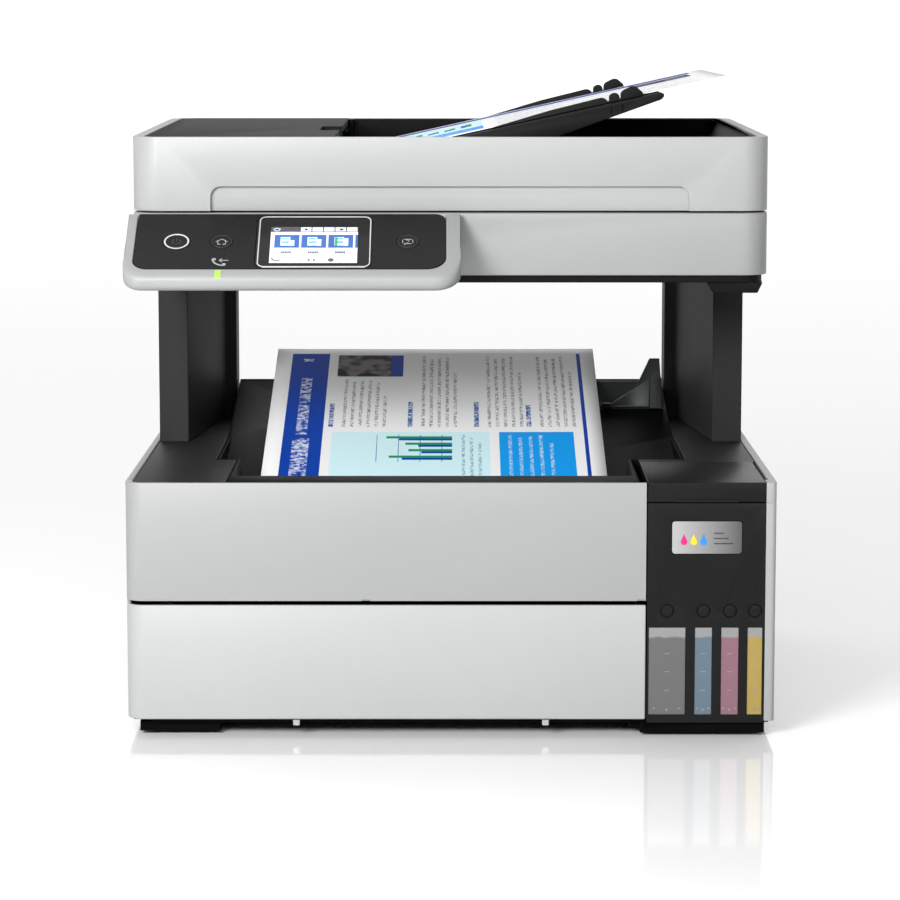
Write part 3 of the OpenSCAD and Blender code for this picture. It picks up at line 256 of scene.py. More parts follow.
# What each material slot of the record looks like, and the looks of some pieces of their own.
M = {
    "white_shell": moulded("white_shell", WHITE, 0.42, 0.35, 0.012, gloss=0.35),
    # The same white as white_shell, darkened on this line to paint shade and lightened on the next to paint
    # light.
    "painted_shade_white": moulded("painted_shade_white", shade(WHITE, 0.88), 0.42, 0.35, 0.012, gloss=0.35),
    "painted_light_white": moulded("painted_light_white", shade(WHITE, 1.12), 0.42, 0.35, 0.012, gloss=0.35),
    "dark_shell": moulded("dark_shell", (0.006, 0.006, 0.0062), 0.5, 0.6, 0.08, gloss=0.08),
    # A darker black than dark_shell, painting the shade that falls on the base under the printer.
    "plinth": moulded("plinth_plastic", (0.0025, 0.0025, 0.0025), 0.6, 0.6, 0.08, gloss=0.03),
    "deck": moulded("deck_plastic", (0.016, 0.016, 0.0165), 0.46, 0.9, 0.1, 1100, 0.14),
    "tray": moulded("tray_plastic", (0.003, 0.003, 0.0032), 0.5, 0.9, 0.1, 1100, 0.05),
    "column": moulded("column_plastic", (0.026, 0.026, 0.0265), 0.5, 0.6, 0.1, 1300, 0.05),
    "lid_top": moulded("lid_top_plastic", (0.01, 0.01, 0.0105), 0.55, 0.7, 0.08, 1200, 0.04),
    "tank_face": moulded("tank_face_plastic", (0.0075, 0.0075, 0.008), 0.38, 0.3, 0.06, gloss=0.13),
    "panel_gloss": glossy("panel_gloss", (0.0165, 0.0165, 0.017), 0.3, gloss=0.06),
    "screen_gloss": glossy("screen_gloss", (0.014, 0.014, 0.0145), 0.1, gloss=0.15),
    "inner_plastic": moulded("inner_plastic", (0.016, 0.016, 0.017), 0.5, 0.6, 0.1),
    "grey_plastic": moulded("grey_plastic", (0.3, 0.3, 0.32), 0.45),
    "sheet_steel": metal("sheet_steel", (0.6, 0.61, 0.63), 0.34, (1, 8, 8)),
    "motor_metal": metal("motor_metal", (0.5, 0.51, 0.53), 0.38, (1, 1, 12)),
    "pinion_brass": metal("pinion_brass", (0.72, 0.52, 0.2), 0.28),
    "rubber": moulded("rubber", (0.014, 0.014, 0.014), 0.72, 0.8, 0.1, 900),
    "roller_grey": moulded("roller_rubber", (0.05, 0.05, 0.052), 0.68, 0.9, 0.1, 1200),
    "glass_clear": clear("glass_clear", (0.93, 0.97, 0.96)),
    "stopper_smoke": glossy("stopper_smoke", (0.022, 0.026, 0.026), 0.34, gloss=0.12),
    "circuit_board": glossy("circuit_board", (0.02, 0.11, 0.05), 0.4),
    "sheet_paper": paper("sheet_paper", SHEET),
    "pad_foam": moulded("pad_foam", (0.74, 0.74, 0.73), 0.8, 1.0, 0.02, 700),
    "cap_black": moulded("cap_black", (0.02, 0.02, 0.02), 0.4),
    "cap_cyan": moulded("cap_cyan", (0.02, 0.2, 0.36), 0.4),
    "cap_magenta": moulded("cap_magenta", (0.36, 0.04, 0.14), 0.4),
    "cap_yellow": moulded("cap_yellow", (0.55, 0.38, 0.03), 0.4),
}
M["tank_clear"] = ink_tank("tank_clear", [
    (100, (0.1, 0.1, 0.101)), (138.8, (0.088, 0.13, 0.165)),
    (153.6, (0.198, 0.098, 0.127)), (168.1, (0.31, 0.222, 0.05))], 58.6)

# Prints, signs and small pieces that only the skin has.
MARK = glossy("mark_print", (0.19, 0.19, 0.195), 0.4)
ICON = glossy("icon_print", (0.36, 0.36, 0.37), 0.35)
FAINT = glossy("faint_print", (0.045, 0.045, 0.047), 0.3)
RING = glossy("ring_print", (0.52, 0.52, 0.53), 0.3)
LIGHT = glossy("status_green", (0.33, 0.62, 0.07), 0.3, 0.12)
# Near-black that paints the shade inside the ring grooves on the tank housing.
GROOVE_SHADE = glossy("groove_painted_shade", (0.0015, 0.0015, 0.0015), 0.5, gloss=0.05)
PLATE = faded_plate("badge_plate", (0.36, 0.36, 0.365), (0.07, 0.07, 0.072), BADGE_X0 * MM, BADGE_X1 * MM)
DROPS = {
    "magenta": glossy("drop_magenta", (0.55, 0.01, 0.16), 0.3),
    "yellow": glossy("drop_yellow", (0.72, 0.5, 0.01), 0.3),
    "cyan": glossy("drop_cyan", (0.01, 0.2, 0.55), 0.3),
}
PRINT = {
    "white": M["sheet_paper"],
    "navy": paper("print_navy", NAVY),
    "sky": paper("print_sky", SKY),
    "blue": paper("print_blue", BLUE),
    "green": paper("print_green", (0.01, 0.3, 0.12)),
    "photo": paper("print_photo", (0.2, 0.18, 0.17), (0.008, 0.009, 0.012), 95, (1.6, -0.5)),
    "words": paper("print_words", SHEET, (0.27, 0.27, 0.28)),
    "heads": paper("print_heads", SHEET, (0.01, 0.1, 0.4), 500, (1.3, 0.1)),
    "pale_words": paper("print_pale_words", SKY, (0.22, 0.34, 0.44)),
    "light_words": paper("print_light_words", BLUE, (0.5, 0.72, 0.9)),
    "band_words": paper("print_band_words", NAVY, (0.66, 0.72, 0.84), 330, (1.2, -0.4)),
}


# ---------------------------------------------------------------- mesh tools

def link(name, mesh, materials, body):
    """Puts a finished mesh in the scene, riding on its body."""
    piece = bpy.data.objects.new(name, mesh)
    bpy.context.scene.collection.objects.link(piece)
    for material in materials:
        mesh.materials.append(material)
    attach(piece, body)
    return piece


def soften(piece, width, angle=35, clamp=False):
    """Rounds the edges sharper than angle, by width mm, and smooths across them.

    clamp keeps the rounding from overshooting where edges are short.
    """
    bevel = piece.modifiers.new("edges", "BEVEL")
    bevel.width = width * MM
    bevel.segments = 3
    bevel.limit_method = "ANGLE"
    bevel.angle_limit = math.radians(angle)
    bevel.use_clamp_overlap = clamp
    bevel.harden_normals = True
    for polygon in piece.data.polygons:
        polygon.use_smooth = True


def arc(centre, r, start, end, steps):
    """Points on an arc, from start to end degrees."""
    return [(centre[0] + r * math.cos(math.radians(start + (end - start) * i / steps)),
             centre[1] + r * math.sin(math.radians(start + (end - start) * i / steps)))
            for i in range(steps + 1)]


def round_outline(x0, y0, x1, y1, r, steps=8):
    """A rectangle with round corners, anticlockwise. r is one radius, or four from the lower left."""
    radii = r if isinstance(r, (list, tuple)) else [r] * 4
    centres = [(x0 + radii[0], y0 + radii[0]), (x1 - radii[1], y0 + radii[1]),
               (x1 - radii[2], y1 - radii[2]), (x0 + radii[3], y1 - radii[3])]
    points = []
    for i, (centre, radius) in enumerate(zip(centres, radii)):
        points += arc(centre, radius, 180 + 90 * i, 270 + 90 * i, steps)
    return points


def prism(outline, low, high, place, holes=()):
    """A bmesh: a flat outline in mm, drawn from low to high mm along its normal, with holes cut through."""
    bm = bmesh.new()
    loops = []
    for points in [outline, *holes]:
        ends = []
        for w in (low, high):
            ends.append([bm.verts.new(place @ Vector((x * MM, y * MM, w * MM))) for x, y in points])
        loops.append(ends)
    for lower, upper in loops:
        for i in range(len(lower)):
            j = (i + 1) % len(lower)
            bm.faces.new((lower[i], lower[j], upper[j], upper[i]))
    for end in (0, 1):
        if not holes:
            bm.faces.new(loops[0][end])
            continue
        edges = []
        for ends in loops:
            ring = ends[end]
            edges += [bm.edges.get((ring[i], ring[(i + 1) % len(ring)])) for i in range(len(ring))]
        bmesh.ops.triangle_fill(bm, use_beauty=True, use_dissolve=True, edges=edges)
    bmesh.ops.recalc_face_normals(bm, faces=bm.faces)
    return bm


def to_mesh(bm, name):
    """Turns a bmesh into a named mesh and frees it."""
    mesh = bpy.data.meshes.new(name)
    bm.to_mesh(mesh)
    bm.free()
    return mesh


def plate(name, outline, low, high, place, material, body, edge=0.15, holes=()):
    """A flat moulded piece with softened edges."""
    piece = link(name, to_mesh(prism(outline, low, high, place, holes), name), [material], body)
    soften(piece, edge)
    return piece


def marks(name, shapes, low, high, place, material, body):
    """Small printed or raised marks as one mesh. shapes are outlines in mm."""
    whole = bmesh.new()
    for outline in shapes:
        part = to_mesh(prism(outline, low, high, place), "part")
        whole.from_mesh(part)
        bpy.data.meshes.remove(part)
    return link(name, to_mesh(whole, name), [material], body)


def bar(p, q, width):
    """Outline of a straight stroke from p to q with square ends."""
    direction = (Vector(q) - Vector(p)).normalized()
    side = Vector((-direction.y, direction.x)) * width / 2
    a, b = Vector(p), Vector(q)
    return [tuple(a + side), tuple(a - side), tuple(b - side), tuple(b + side)]


def strokes(x, v, segments, width):
    """Straight strokes. A segment is its two ends' places, each measured from x, v."""
    return [bar((x + a, v + b), (x + c, v + d), width) for a, b, c, d in segments]


def bow(centre, r, width, start, end, steps=20):
    """Outline of a curved stroke."""
    outside = arc(centre, r + width / 2, start, end, steps)
    return outside + arc(centre, r - width / 2, end, start, steps)


def boxed(x0, y0, x1, y1):
    """Outline of a rectangle."""
    return [(x0, y0), (x1, y0), (x1, y1), (x0, y1)]


# Places flat outlines on the base's front face: x, then z, and heights towards the front.
UPRIGHT = Matrix.Translation((0, FRONT_Y, 0)) @ Matrix.Rotation(math.pi / 2, 4, "X")


# ---------------------------------------------------------------- CAD nodes

# Width of the rounding on each moulded piece, in mm.
EDGE_MM = {
    "adf_frame": 0.6, "scanner_frame": 0.8, "front_cover": 0.9, "cassette_front": 0.9,
    "left_side_cover": 0.8, "right_side_cover": 0.4, "tank_lid": 0.5, "adf_cover": 0.25,
    "adf_input_tray": 0.35, "adf_top": 0.5, "top_deck": 0.4, "output_tray": 0.4, "left_column": 0.9,
    "right_column": 0.9, "scanner_case": 0.6, "paper_stopper": 0.5, "adf_guide_front": 0.4,
    "adf_guide_rear": 0.4, "rear_cover": 0.4, "rear_panel": 0.3, "base_tray": 0.3,
    "ink_tank_housing": 0.15, "cassette_tray": 0.4, "feet": 0.4, "backing_pad": 0.5,
    "tank_cap_black": 0.3, "tank_cap_cyan": 0.3, "tank_cap_magenta": 0.3, "tank_cap_yellow": 0.3,
}
# Outer covers with short edges, where an unclamped bevel would overshoot.
CLAMPED = ("adf_frame", "front_cover", "cassette_front", "left_side_cover", "right_side_cover")
# Pieces that look different from the rest of their material slot. The white of the front cover, scanner
# frame and panel rim is darkened to paint shade, the cassette front's white is lightened to paint light, and
# the base tray's black is darkened to paint shade.
OWN_LOOK = {
    "front_cover": "painted_shade_white", "scanner_frame": "painted_shade_white", "cassette_front": "painted_light_white",
    "top_deck": "deck", "output_tray": "tray", "adf_cover": "lid_top", "adf_top": "tray",
    "left_column": "column", "right_column": "column", "ink_tank_housing": "tank_face",
    "tank_lid": "tank_face", "base_tray": "plinth",
}


def dress_cad_nodes():
    """Gives every CAD node its material and rounds its moulded edges."""
    slots = {row["node"]: row["material_slot"] for row in frame["record"]["subparts"]}
    for name, node in frame["nodes"].items():
        material = M[OWN_LOOK.get(name, slots[name])]
        node.data.materials.clear()
        node.data.materials.append(material)
        if name not in EDGE_MM:
            continue
        weld = node.modifiers.new("weld", "WELD")
        weld.merge_threshold = 0.01 * MM
        flat = node.modifiers.new("flat", "DECIMATE")
        flat.decimate_type = "DISSOLVE"
        flat.angle_limit = math.radians(0.5)
        soften(node, EDGE_MM[name], angle=30, clamp=name in CLAMPED)


# ---------------------------------------------------------------- control panel

# Places flat outlines on the panel's face: x, then v up the slope, 0 at its upper edge, and heights off it.
PANEL_SLOPE = math.radians(32)
PANEL = Matrix.Translation((0, at(48), 300.7 * MM)) @ Matrix.Rotation(PANEL_SLOPE, 4, "X")
BUTTON_V = -28.7
POWER_X, HOME_X, HELP_X = -157.6, -131.6, -24.6


def panel_rim():
    """The white frame of the control panel: a rounded nose swept across, drawn in at its corners."""
    left, right = -187.0, 6.0
    corner_left, corner_right = 11.0, 15.0
    # Depth and z of the profile, from the face's lower edge round the nose to the underside.
    nose = [(0.4, 270.9), (-1.2, 269.6), (-2.5, 268.2), (-3.3, 266.6), (-3.5, 265.0), (-3.2, 262.9),
            (-2.2, 261.1), (-0.6, 259.8), (1.2, 259.3), (12.0, 260.5)]
    back = (math.cos(PANEL_SLOPE), math.sin(PANEL_SLOPE))
    bm = bmesh.new()
    rings = []
    stations = [(left + corner_left * (1 - math.cos(math.pi / 2 * i / 10)), False) for i in range(11)]
    stations += [(right - corner_right * (1 - math.cos(math.pi / 2 * i / 12)), True)
                 for i in range(12, -1, -1)]
    for x, at_right in stations:
        r = corner_right if at_right else corner_left
        into = r - min(r, (right - x) if at_right else (x - left))
        inset = r - math.sqrt(max(0.0, r * r - into * into))
        points = [(d + inset * back[0], z + inset * back[1]) for d, z in nose]
        points[-1] = (max(12.0, points[-1][0]), points[-1][1] - 0.3 * inset * back[1])
        points += [(47.2, 281.0), (47.2, 300.3)]
        rings.append([bm.verts.new((x * MM, at(d), z * MM)) for d, z in points])
    for a, b in zip(rings, rings[1:]):
        for i in range(len(a)):
            j = (i + 1) % len(a)
            bm.faces.new((a[i], a[j], b[j], b[i]))
    bm.faces.new(rings[0])
    bm.faces.new(rings[-1])
    bmesh.ops.recalc_face_normals(bm, faces=bm.faces)
    # The rim takes the white that is darkened to paint shade.
    rim = link("panel_rim", to_mesh(bm, "panel_rim"), [M["painted_shade_white"]], "control_panel")
    cut_pocket(rim, round_outline(-181.6, -54.7, -2.5, 6, [8.4, 11.4, 4, 4], 10), -3.6, 6, PANEL)
    for x in (-150, -34):
        cut_pocket(rim, boxed(x - 3.8, -8, x + 11.8, 6), -9, 6, PANEL)
    soften(rim, 0.7, angle=40)
    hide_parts("panel_frame")


def cut_pocket(piece, outline, low, high, place):
    """Cuts an outline out of a piece, and applies the cut."""
    cutter = bpy.data.objects.new("cutter", to_mesh(prism(outline, low, high, place), "cutter"))
    bpy.context.scene.collection.objects.link(cutter)
    cut = piece.modifiers.new("cut", "BOOLEAN")
    cut.operation = "DIFFERENCE"
    cut.solver = "EXACT"
    cut.object = cutter
    bpy.context.view_layer.update()
    made = bpy.data.meshes.new_from_object(piece.evaluated_get(bpy.context.evaluated_depsgraph_get()))
    piece.modifiers.remove(cut)
    old = piece.data
    piece.data = made
    made.name = piece.name
    bpy.data.meshes.remove(old)
    bpy.data.objects.remove(cutter)


def panel_face():
    """The black face, with openings for its buttons and a seat for the screen."""
    outline = round_outline(-181.2, -54.4, -2.9, -1.2, [8, 11, 6, 1.5], 10)
    openings = [arc((POWER_X, BUTTON_V), 8.0, 0, 352.5, 47), arc((HOME_X, BUTTON_V), 6.6, 0, 351, 39),
                arc((HELP_X, BUTTON_V), 6.6, 0, 351, 39), round_outline(-112.1, -53.7, -45.1, -3.8, 4.2, 6)]
    face = plate("panel_face_plate", outline, -1.9, 0.2, PANEL, M["panel_gloss"], "control_panel", 0.25,
                 openings)
    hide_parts("panel_face")


def screen():
    """The display's glass in its pale ring, with a generic page of tiles on it."""
    glass = plate("screen_glass", round_outline(-111.7, -53.3, -45.5, -4.2, 3.8), -0.9, 0.35, PANEL,
                  M["screen_gloss"], "control_panel", 0.3)
    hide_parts("panel_screen")
    outer = round_outline(-110.6, -53.4, -45.8, -4.1, 4.0)
    inner = round_outline(-109.85, -52.65, -46.55, -4.85, 3.4)
    plate("screen_ring", outer, -0.5, 0.55, PANEL, RING, "control_panel", 0.2, [inner])
    lcd_page(-103.6, -49.5, -53.4, -14.5)


def lcd_page(u0, v0, u1, v1):
    """The lit page: a bar of status icons, a row of tiles that runs off to the right, and small signs."""
    pitch = 15.5
    page = [boxed(u0, v0, u1, v1)]
    top_bar = [boxed(u0, v1 - 4.9, u1, v1)]
    tiles = [boxed(u0 + 2.3 + i * pitch, v1 - 20.4, min(u1, u0 + 16.6 + i * pitch), v1 - 7.8)
             for i in range(4)]
    icons, lights, captions = [], [], []
    for i in range(3):
        x, y = u0 + 9.4 + i * pitch, v1 - 14.1
        icons += [boxed(x - 3.6, y - 4.2, x + 2.0, y + 4.0), boxed(x + 1.2, y - 4.4, x + 4.4, y + 1 + i)]
        lights += [boxed(x - 2.8, y + 1.8, x + 1.2, y + 2.9), boxed(x - 2.8, y - 1.6, x + 1.2, y - 0.2)]
        for k in range(5):
            left = x - 2.9 + k * 1.2
            captions.append(boxed(left, v1 - 26.0 + (k % 2) * 0.4, left + 0.85, v1 - 23.8))
        captions.append(boxed(x - 2.9, v1 - 25.4, x + 2.7, v1 - 25.0))
    status = [boxed(u0 + 17.2 + i * 6.65, v1 - 4.4, u0 + 23.2 + i * 6.65, v1 - 0.5) for i in range(5)]
    house = strokes(u0, v1, [(1.2, -2.4, 3.4, -1.1), (3.4, -1.1, 5.6, -2.4)], 0.5)
    house += [bow((u0 + 3.4, v1 - 2.6), 1.4, 0.5, 180, 360)]
    signs = [arc((u0 + x, v0 + 2.8), 0.85, 0, 330, 11) for x in (22.6, 25.6)]
    signs += [arc((u0 + 35.2, v0 + 2.8), 1.7, 0, 345, 23), bow((u0 + 4.4, v0 + 5.2), 3.2, 1.0, 190, 300)]
    drops = [arc((u0 + 20.2, v1 - 2.6), 1.0, 0, 330, 11), boxed(u0 + 39.6, v1 - 3.4, u0 + 41.6, v1 - 1.7)]
    leaf = [boxed(u0 + 37.0, v1 - 18.4, u0 + 38.6, v1 - 10.4)]
    layers = [
        ("lcd_page", page, 0.36, 0.4, glossy("lcd_white", (0.8, 0.82, 0.86), 0.2, 0.14)),
        ("lcd_bar", top_bar, 0.38, 0.42, glossy("lcd_grey", (0.075, 0.075, 0.09), 0.2)),
        ("lcd_tiles", tiles, 0.4, 0.44, glossy("lcd_blue", (0.035, 0.12, 0.4), 0.2, 0.03)),
        ("lcd_icons", icons + status + house, 0.44, 0.47, glossy("lcd_ice", (0.7, 0.8, 0.86), 0.2, 0.14)),
        ("lcd_icon_lines", lights, 0.47, 0.49, glossy("lcd_cyan", (0.03, 0.35, 0.5), 0.2, 0.08)),
        ("lcd_captions", signs + captions, 0.4, 0.43, glossy("lcd_slate", (0.09, 0.1, 0.14), 0.2)),
        ("lcd_drops", drops, 0.47, 0.49, glossy("lcd_ink", (0.02, 0.03, 0.08), 0.2)),
        ("lcd_leaf", leaf, 0.47, 0.49, glossy("lcd_green", (0.03, 0.45, 0.12), 0.2, 0.08)),
    ]
    for name, shapes, low, high, material in layers:
        marks(name, shapes, low, high, PANEL, material, "control_panel")


def dished_button(name, x, r, ring):
    """A round button on its own body, with a slight dip. ring is the ring's radius, width and print."""
    bm = bmesh.new()
    profile = [(r - 0.1, -1.9), (r, -1.7), (r, 0.2), (r - 0.15, 0.36), (r - 0.5, 0.4), (r - 1.2, 0.32),
               (r * 0.6, 0.12), (r * 0.3, 0.02), (0.0, 0.0)]
    steps = 64
    rings = []
    for radius, height in profile[:-1]:
        rings.append([bm.verts.new(PANEL @ Vector(((x + px) * MM, (BUTTON_V + py) * MM, height * MM)))
                      for px, py in arc((0, 0), radius, 0, 360 - 360 / steps, steps - 1)])
    for a, b in zip(rings, rings[1:]):
        for i in range(steps):
            j = (i + 1) % steps
            bm.faces.new((a[i], a[j], b[j], b[i]))
    middle = bm.verts.new(PANEL @ Vector((x * MM, BUTTON_V * MM, profile[-1][1] * MM)))
    for i in range(steps):
        bm.faces.new((rings[-1][i], rings[-1][(i + 1) % steps], middle))
    bm.faces.new(rings[0][::-1])
    bmesh.ops.recalc_face_normals(bm, faces=bm.faces)
    button = link(name + "_cap", to_mesh(bm, name + "_cap"), [M["panel_gloss"]], name)
    for polygon in button.data.polygons:
        polygon.use_smooth = True
    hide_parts(name)
    radius, width, tint = ring
    plate(name + "_ring", arc((x, BUTTON_V), radius, 0, 355, 71), 0.2, 0.5, PANEL, tint, name, 0.08,
          [arc((x, BUTTON_V), radius - width, 0, 355, 71)])


def buttons():
    """The three buttons and the signs on them."""
    dished_button("power_button", POWER_X, 7.6, (7.3, 1.0, RING))
    dished_button("home_button", HOME_X, 6.2, (6.0, 0.3, FAINT))
    dished_button("help_button", HELP_X, 6.2, (6.0, 0.3, FAINT))
    x, v = POWER_X, BUTTON_V
    marks("power_sign", [bow((x, v), 2.4, 0.4, 125, 415), bar((x, v + 0.4), (x, v + 3), 0.4)], 0.1, 0.28,
          PANEL, FAINT, "power_button")
    house = strokes(HOME_X, v, [
        (-3.4, -0.1, 0.2, 2.7), (-0.2, 2.7, 3.4, -0.1), (-2.2, 0.6, -2.2, -2.6), (2.2, 0.6, 2.2, -2.6),
        (-2.4, -2.5, -0.6, -2.5), (0.6, -2.5, 2.4, -2.5)], 0.45)
    marks("home_sign", house, 0.14, 0.3, PANEL, ICON, "home_button")
    bubble = strokes(HELP_X, v, [
        (-2.2, -1.9, 2.2, -1.9), (-2.2, 2.4, 2.2, 2.4), (-2.9, -1.3, -2.9, 1.8), (2.9, -1.3, 2.9, 1.8),
        (-1.2, -1.9, -1.8, -3.1)], 0.4)
    bubble += [bow((HELP_X, v + 0.9), 0.8, 0.35, -60, 180), arc((HELP_X, v - 1.0), 0.3, 0, 315, 7)]
    marks("help_sign", bubble, 0.14, 0.3, PANEL, ICON, "help_button")


def panel_signs():
    """Handset sign with an arrow, and the status light let into the rim below it."""
    x, v = -131.4, -48.6
    hub, reach = (x + 1.6, v + 3.2), 6.2
    spokes = [(math.cos(math.radians(a)), math.sin(math.radians(a))) for a in (184, 276)]
    handset = [bow(hub, reach, 1.0, 181, 279)]
    handset += [bar((hub[0] + 4.4 * c, hub[1] + 4.4 * s), (hub[0] + reach * c, hub[1] + reach * s), 1.9)
                for c, s in spokes]
    arrow = strokes(x, v, [(-0.6, 1.8, 4.6, 1.8), (-0.7, 1.8, 0.9, 3.3), (-0.7, 1.8, 0.9, 0.3)], 0.6)
    marks("handset_sign", handset + arrow, 0.2, 0.26, PANEL, ICON, "control_panel")
    # Places outlines of depth and z, and draws them along x.
    sideways = Matrix(((0, 0, 1, 0), (1, 0, 0, at(0)), (0, 1, 0, 0), (0, 0, 0, 1)))
    lens = [(0.6, 271.1), (-1.3, 269.8), (-2.7, 268.3), (-3.5, 266.7), (-2.6, 266.4), (-0.4, 268.9),
            (0.6, 269.8)]
    plate("status_light", lens, -134.1, -130.8, sideways, LIGHT, "control_panel", 0.12)


# ---------------------------------------------------------------- paper

def printed_sheet(name, regions, size, place, body, node, curl):
    """A sheet whose top face is cut along its printed regions, which are (u0, v0, u1, v1, print) in mm.

    curl gives the height of its middle plane at u, v, and node is the CAD node it stands in for.
    """
    width, length = size
    cuts_u = sorted({0.0, width} | {float(r[i]) for r in regions for i in (0, 2)})
    cuts_v = sorted({0.0, length} | {float(r[i]) for r in regions for i in (1, 3)}
                    | {length * i / 16 for i in range(17)})
    names = sorted({r[4] for r in regions} - {"white"}) + ["white"]
    bm = bmesh.new()
    grid = [[bm.verts.new(place @ Vector((u * MM, v * MM, (PAPER_T / 2 + curl(u, v)) * MM))) for v in cuts_v]
            for u in cuts_u]
    for i in range(len(cuts_u) - 1):
        for j in range(len(cuts_v) - 1):
            face = bm.faces.new((grid[i][j], grid[i + 1][j], grid[i + 1][j + 1], grid[i][j + 1]))
            u, v = (cuts_u[i] + cuts_u[i + 1]) / 2, (cuts_v[j] + cuts_v[j + 1]) / 2
            inside = [r[4] for r in regions if r[0] < u < r[2] and r[1] < v < r[3]]
            face.material_index = names.index(inside[-1] if inside else "white")
            face.smooth = True
    bmesh.ops.recalc_face_normals(bm, faces=bm.faces)
    if bm.faces[:][0].normal.z < 0:
        bmesh.ops.reverse_faces(bm, faces=bm.faces)
    sheet = link(name, to_mesh(bm, name), [PRINT[n] for n in names], body)
    solid = sheet.modifiers.new("thickness", "SOLIDIFY")
    solid.thickness = (PAPER_T - 0.1) * MM
    solid.offset = -1
    # Past the last print, so the underside and the rim are white.
    solid.material_offset = len(names)
    solid.material_offset_rim = len(names)
    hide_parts(node)


def lines(u0, v0, u1, v1, step, thick, print_name, ragged=0):
    """Speckled lines along v, in place of text. The last is shorter by ragged, and the others vary."""
    rows = []
    count = int((u1 - u0) / step + 0.5)
    for i in range(count):
        short = ragged if i == count - 1 else (i * 5) % 7
        rows.append((u0 + i * step, v0, u0 + i * step + thick, v1 - short, print_name))
    return rows


def page_regions():
    """Front of the printed page. u runs from its left edge, v from its near edge to its far edge."""
    far = PAPER_L
    regions = [(10.3, 8, 35, far - 9.5, "navy"), (16.5, 20, 27, far - 158, "band_words"),
               (18, far - 152, 25, far - 54, "band_words"), (18, far - 24, 25, far - 19, "band_words"),
               (41, far - 51, 84, far - 12, "photo"), (76, far - 51, 84, far - 12, "navy")]
    for u, rows, end in ((38, 6, 56), (88, 5, 14), (130, 5, 14), (163, 5, 14)):
        regions += [(u, far - 139, u + 3.0, far - 108 + (u % 7) * 3, "heads")]
        regions += lines(u + 8.6, far - 139, u + 8.6 + rows * 5.1, far - end, 5.1, 2.1, "words", 30)
    regions += [(40.8, 20, 139.5, far - 147.5, "sky")]
    for i in range(4):
        regions += [(69 + i * 13.5, far - 196, 69.4 + i * 13.5, far - 152, "navy")]
    for i, length in enumerate((43, 31, 29, 41)):
        v = far - 158 - i * 10.5
        regions += [(118 - length, v, 116, v + 3.6, "green"), (126 - length, v - 3.2, 116, v, "navy")]
    regions += lines(122, 24, 138, far - 152, 5.1, 1.9, "pale_words", 12)
    regions += [(145.4, 20, 192, far - 147.5, "blue")]
    regions += lines(151, 26, 186, far - 152, 6.4, 2.2, "light_words", 14)
    regions += [(198.4, 8, 200.8, far - 9.5, "navy")]
    return regions


def document_regions():
    """The same print on the feeder's sheet. u runs from its lower to its upper end, v from front to rear."""
    return [(v0, PAPER_W - u1, v1, PAPER_W - u0, ink) for u0, v0, u1, v1, ink in page_regions()
            if ink != "band_words"]


def sheets():
    """The page in the output tray, bowed a little across, and the document in the feeder."""
    tilt = math.radians(14.8)
    far_d, far_z = 317, 193.6
    near = Vector((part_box("printed_page")[0].x, at(far_d) - PAPER_L * math.cos(tilt) * MM,
                   (far_z - PAPER_L * math.sin(tilt)) * MM))
    page_place = Matrix.Translation(near) @ Matrix.Rotation(tilt, 4, "X")
    printed_sheet("printed_page_sheet", page_regions(), (PAPER_W, PAPER_L), page_place,
                  "page", "printed_page", lambda u, v: -0.25 * math.sin(math.pi * u / PAPER_W))
    lean = math.radians(12.4)
    upper_x, front_d = 164, 95
    upper_z = 343.6 + (upper_x - 2.7) * math.tan(lean)
    low = Vector(((upper_x - PAPER_L * math.cos(lean)) * MM, at(front_d),
                  (upper_z - PAPER_L * math.sin(lean)) * MM))
    sheet_place = Matrix.Translation(low) @ Matrix.Rotation(-lean, 4, "Y")
    printed_sheet("feeder_sheet", document_regions(), (PAPER_L, PAPER_W), sheet_place,
                  "document", "adf_document", lambda u, v: PAPER_T / 2)


# ---------------------------------------------------------------- ink tanks

WINDOWS = [(114.3, 135.8), (141.0, 151.1), (156.2, 166.5), (171.4, 180.2)]     # x of each window's sides
RING_Z = 74.2


def tank_marks():
    """Level ticks and small arrow marks on the tank windows, and near-black floors in the grooves above them
    that paint the shade in the grooves.
    """
    shapes = []
    for x0, x1 in WINDOWS:
        mid = (x0 + x1) / 2
        for z in (49.0, 38.4, 27.4):
            shapes.append(boxed(mid - 1.5, z - 0.25, mid + 1.5, z + 0.25))
        shapes.append([(mid - 0.9, 61.4), (mid + 0.9, 61.4), (mid, 62.8)])
        shapes.append([(mid - 0.9, 15.4), (mid + 0.9, 15.4), (mid, 17)])
        for side in (-1, 1):
            x = mid + side * (x1 - x0) * 0.34
            shapes.append(boxed(x - 0.7, 16.4, x + 0.7, 17.2))
    marks("tank_window_marks", shapes, -0.92, -0.86, UPRIGHT, MARK, "base")
    # The floors of the ring grooves, near-black to paint their shade.
    rings = [bow(((x0 + x1) / 2, RING_Z), 3.7, 0.56, side, side + 180)
             for x0, x1 in WINDOWS for side in (0, 180)]
    marks("tank_rings", rings, -0.52, -0.25, UPRIGHT, GROOVE_SHADE, "base")


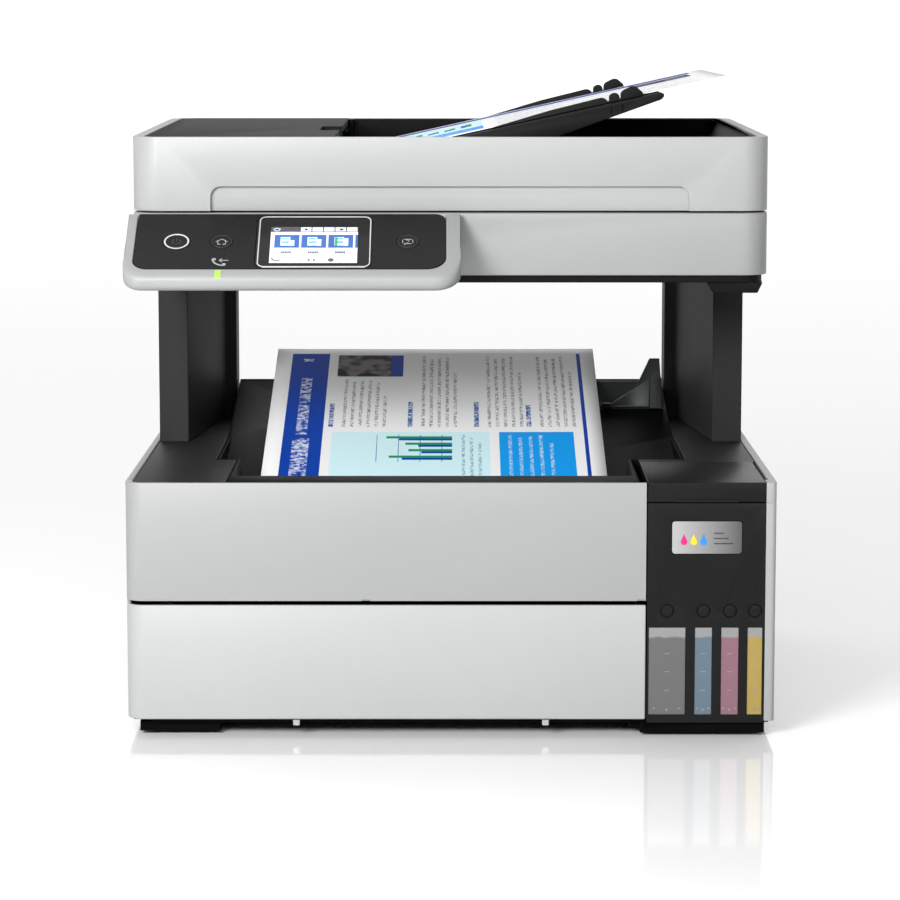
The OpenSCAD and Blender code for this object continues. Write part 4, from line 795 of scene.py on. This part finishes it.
def badge():
    """A plain plate that darkens towards the right, with three raised drops and three bars on it."""
    outline = round_outline(BADGE_X0, 107.7, BADGE_X1, 126.5, 1.8)
    plate("badge_plate", outline, -0.6, 0.15, UPRIGHT, PLATE, "base", 0.2)
    for i, ink in enumerate(("magenta", "yellow", "cyan")):
        x, z, r = 134.3 + i * 5.6, 114.6, 1.9
        drop = arc((x, z), r, 140, 400, 24) + [(x, z + 4.6)]
        plate("badge_drop_" + ink, drop, 0.1, 0.3, UPRIGHT, DROPS[ink], "base", 0.06)
    bars = [boxed(151.5, 113.2 + i * 3.0, 162.5 - i * 2.6, 114.0 + i * 3.0) for i in range(3)]
    marks("badge_bars", bars, 0.1, 0.2, UPRIGHT, FAINT, "base")


# ---------------------------------------------------------------- stage

SKY_FRONT, SKY_BACK = 0.3, 1.25         # strength of the sky in front of the printer and behind it
KEY_W, FRONT_W, TOP_W = 26, 19, 3       # power of the soft boxes


def camera():
    """The view from in front, slightly above, through a long lens."""
    data = bpy.data.cameras.new("camera")
    data.sensor_width = 36.0
    data.lens = 130.1
    data.clip_end = 50
    seen = bpy.data.objects.new("camera", data)
    seen.location = (-0.0003, -2.017, 0.415)
    seen.rotation_euler = (math.radians(90 - 7.62), 0, 0)
    bpy.context.scene.collection.objects.link(seen)
    bpy.context.scene.camera = seen


def area_light(name, place, target, size, power):
    """A soft box that faces its target."""
    data = bpy.data.lights.new(name, "AREA")
    data.shape = "RECTANGLE"
    data.size, data.size_y = size
    data.energy = power
    lamp = bpy.data.objects.new(name, data)
    lamp.location = place
    lamp.rotation_euler = (Vector(target) - Vector(place)).to_track_quat("-Z", "Y").to_euler()
    bpy.context.scene.collection.objects.link(lamp)


def studio():
    """Pale floor, a sky that is white behind the printer and dimmer in front of it, and soft boxes."""
    bm = bmesh.new()
    bmesh.ops.create_grid(bm, x_segments=8, y_segments=8, size=14)
    floor = bpy.data.objects.new("floor", to_mesh(bm, "floor"))
    material, tree, shader, where = node_material("floor")
    tint = two_tone(tree, noise(tree, where, 2), (0.87, 0.87, 0.87), (0.89, 0.89, 0.89))
    tree.links.new(tint, shader.inputs["Base Color"])
    shader.inputs["Roughness"].default_value = 0.07
    floor.data.materials.append(material)
    bpy.context.scene.collection.objects.link(floor)
    world = bpy.data.worlds.new("sky")
    bpy.context.scene.world = world
    world.use_nodes = True
    sky = world.node_tree
    direction = sky.nodes.new("ShaderNodeTexCoord").outputs["Generated"]
    axes = sky.nodes.new("ShaderNodeSeparateXYZ")
    sky.links.new(direction, axes.inputs["Vector"])
    level = sky.nodes.new("ShaderNodeMapRange")
    level.inputs["From Min"].default_value = -0.1
    level.inputs["From Max"].default_value = 0.75
    level.inputs["To Min"].default_value = SKY_FRONT
    level.inputs["To Max"].default_value = SKY_BACK
    sky.links.new(axes.outputs["Y"], level.inputs["Value"])
    background = sky.nodes["Background"]
    background.inputs["Color"].default_value = (1, 1, 1, 1)
    sky.links.new(level.outputs["Result"], background.inputs["Strength"])
    area_light("key", (-0.62, -1.35, 0.7), (0, -0.1, 0.2), (0.5, 0.4), KEY_W)
    area_light("front", (0.1, -2.3, 1.0), (0, 0, 0.15), (1.6, 0.5), FRONT_W)
    area_light("top", (0.1, 0.7, 2.3), (0, 0, 0.3), (2.0, 1.4), TOP_W)
    bpy.context.scene.view_settings.view_transform = "Standard"


camera()
studio()
dress_cad_nodes()
panel_rim()
panel_face()
screen()
buttons()
panel_signs()
sheets()
tank_marks()
badge()
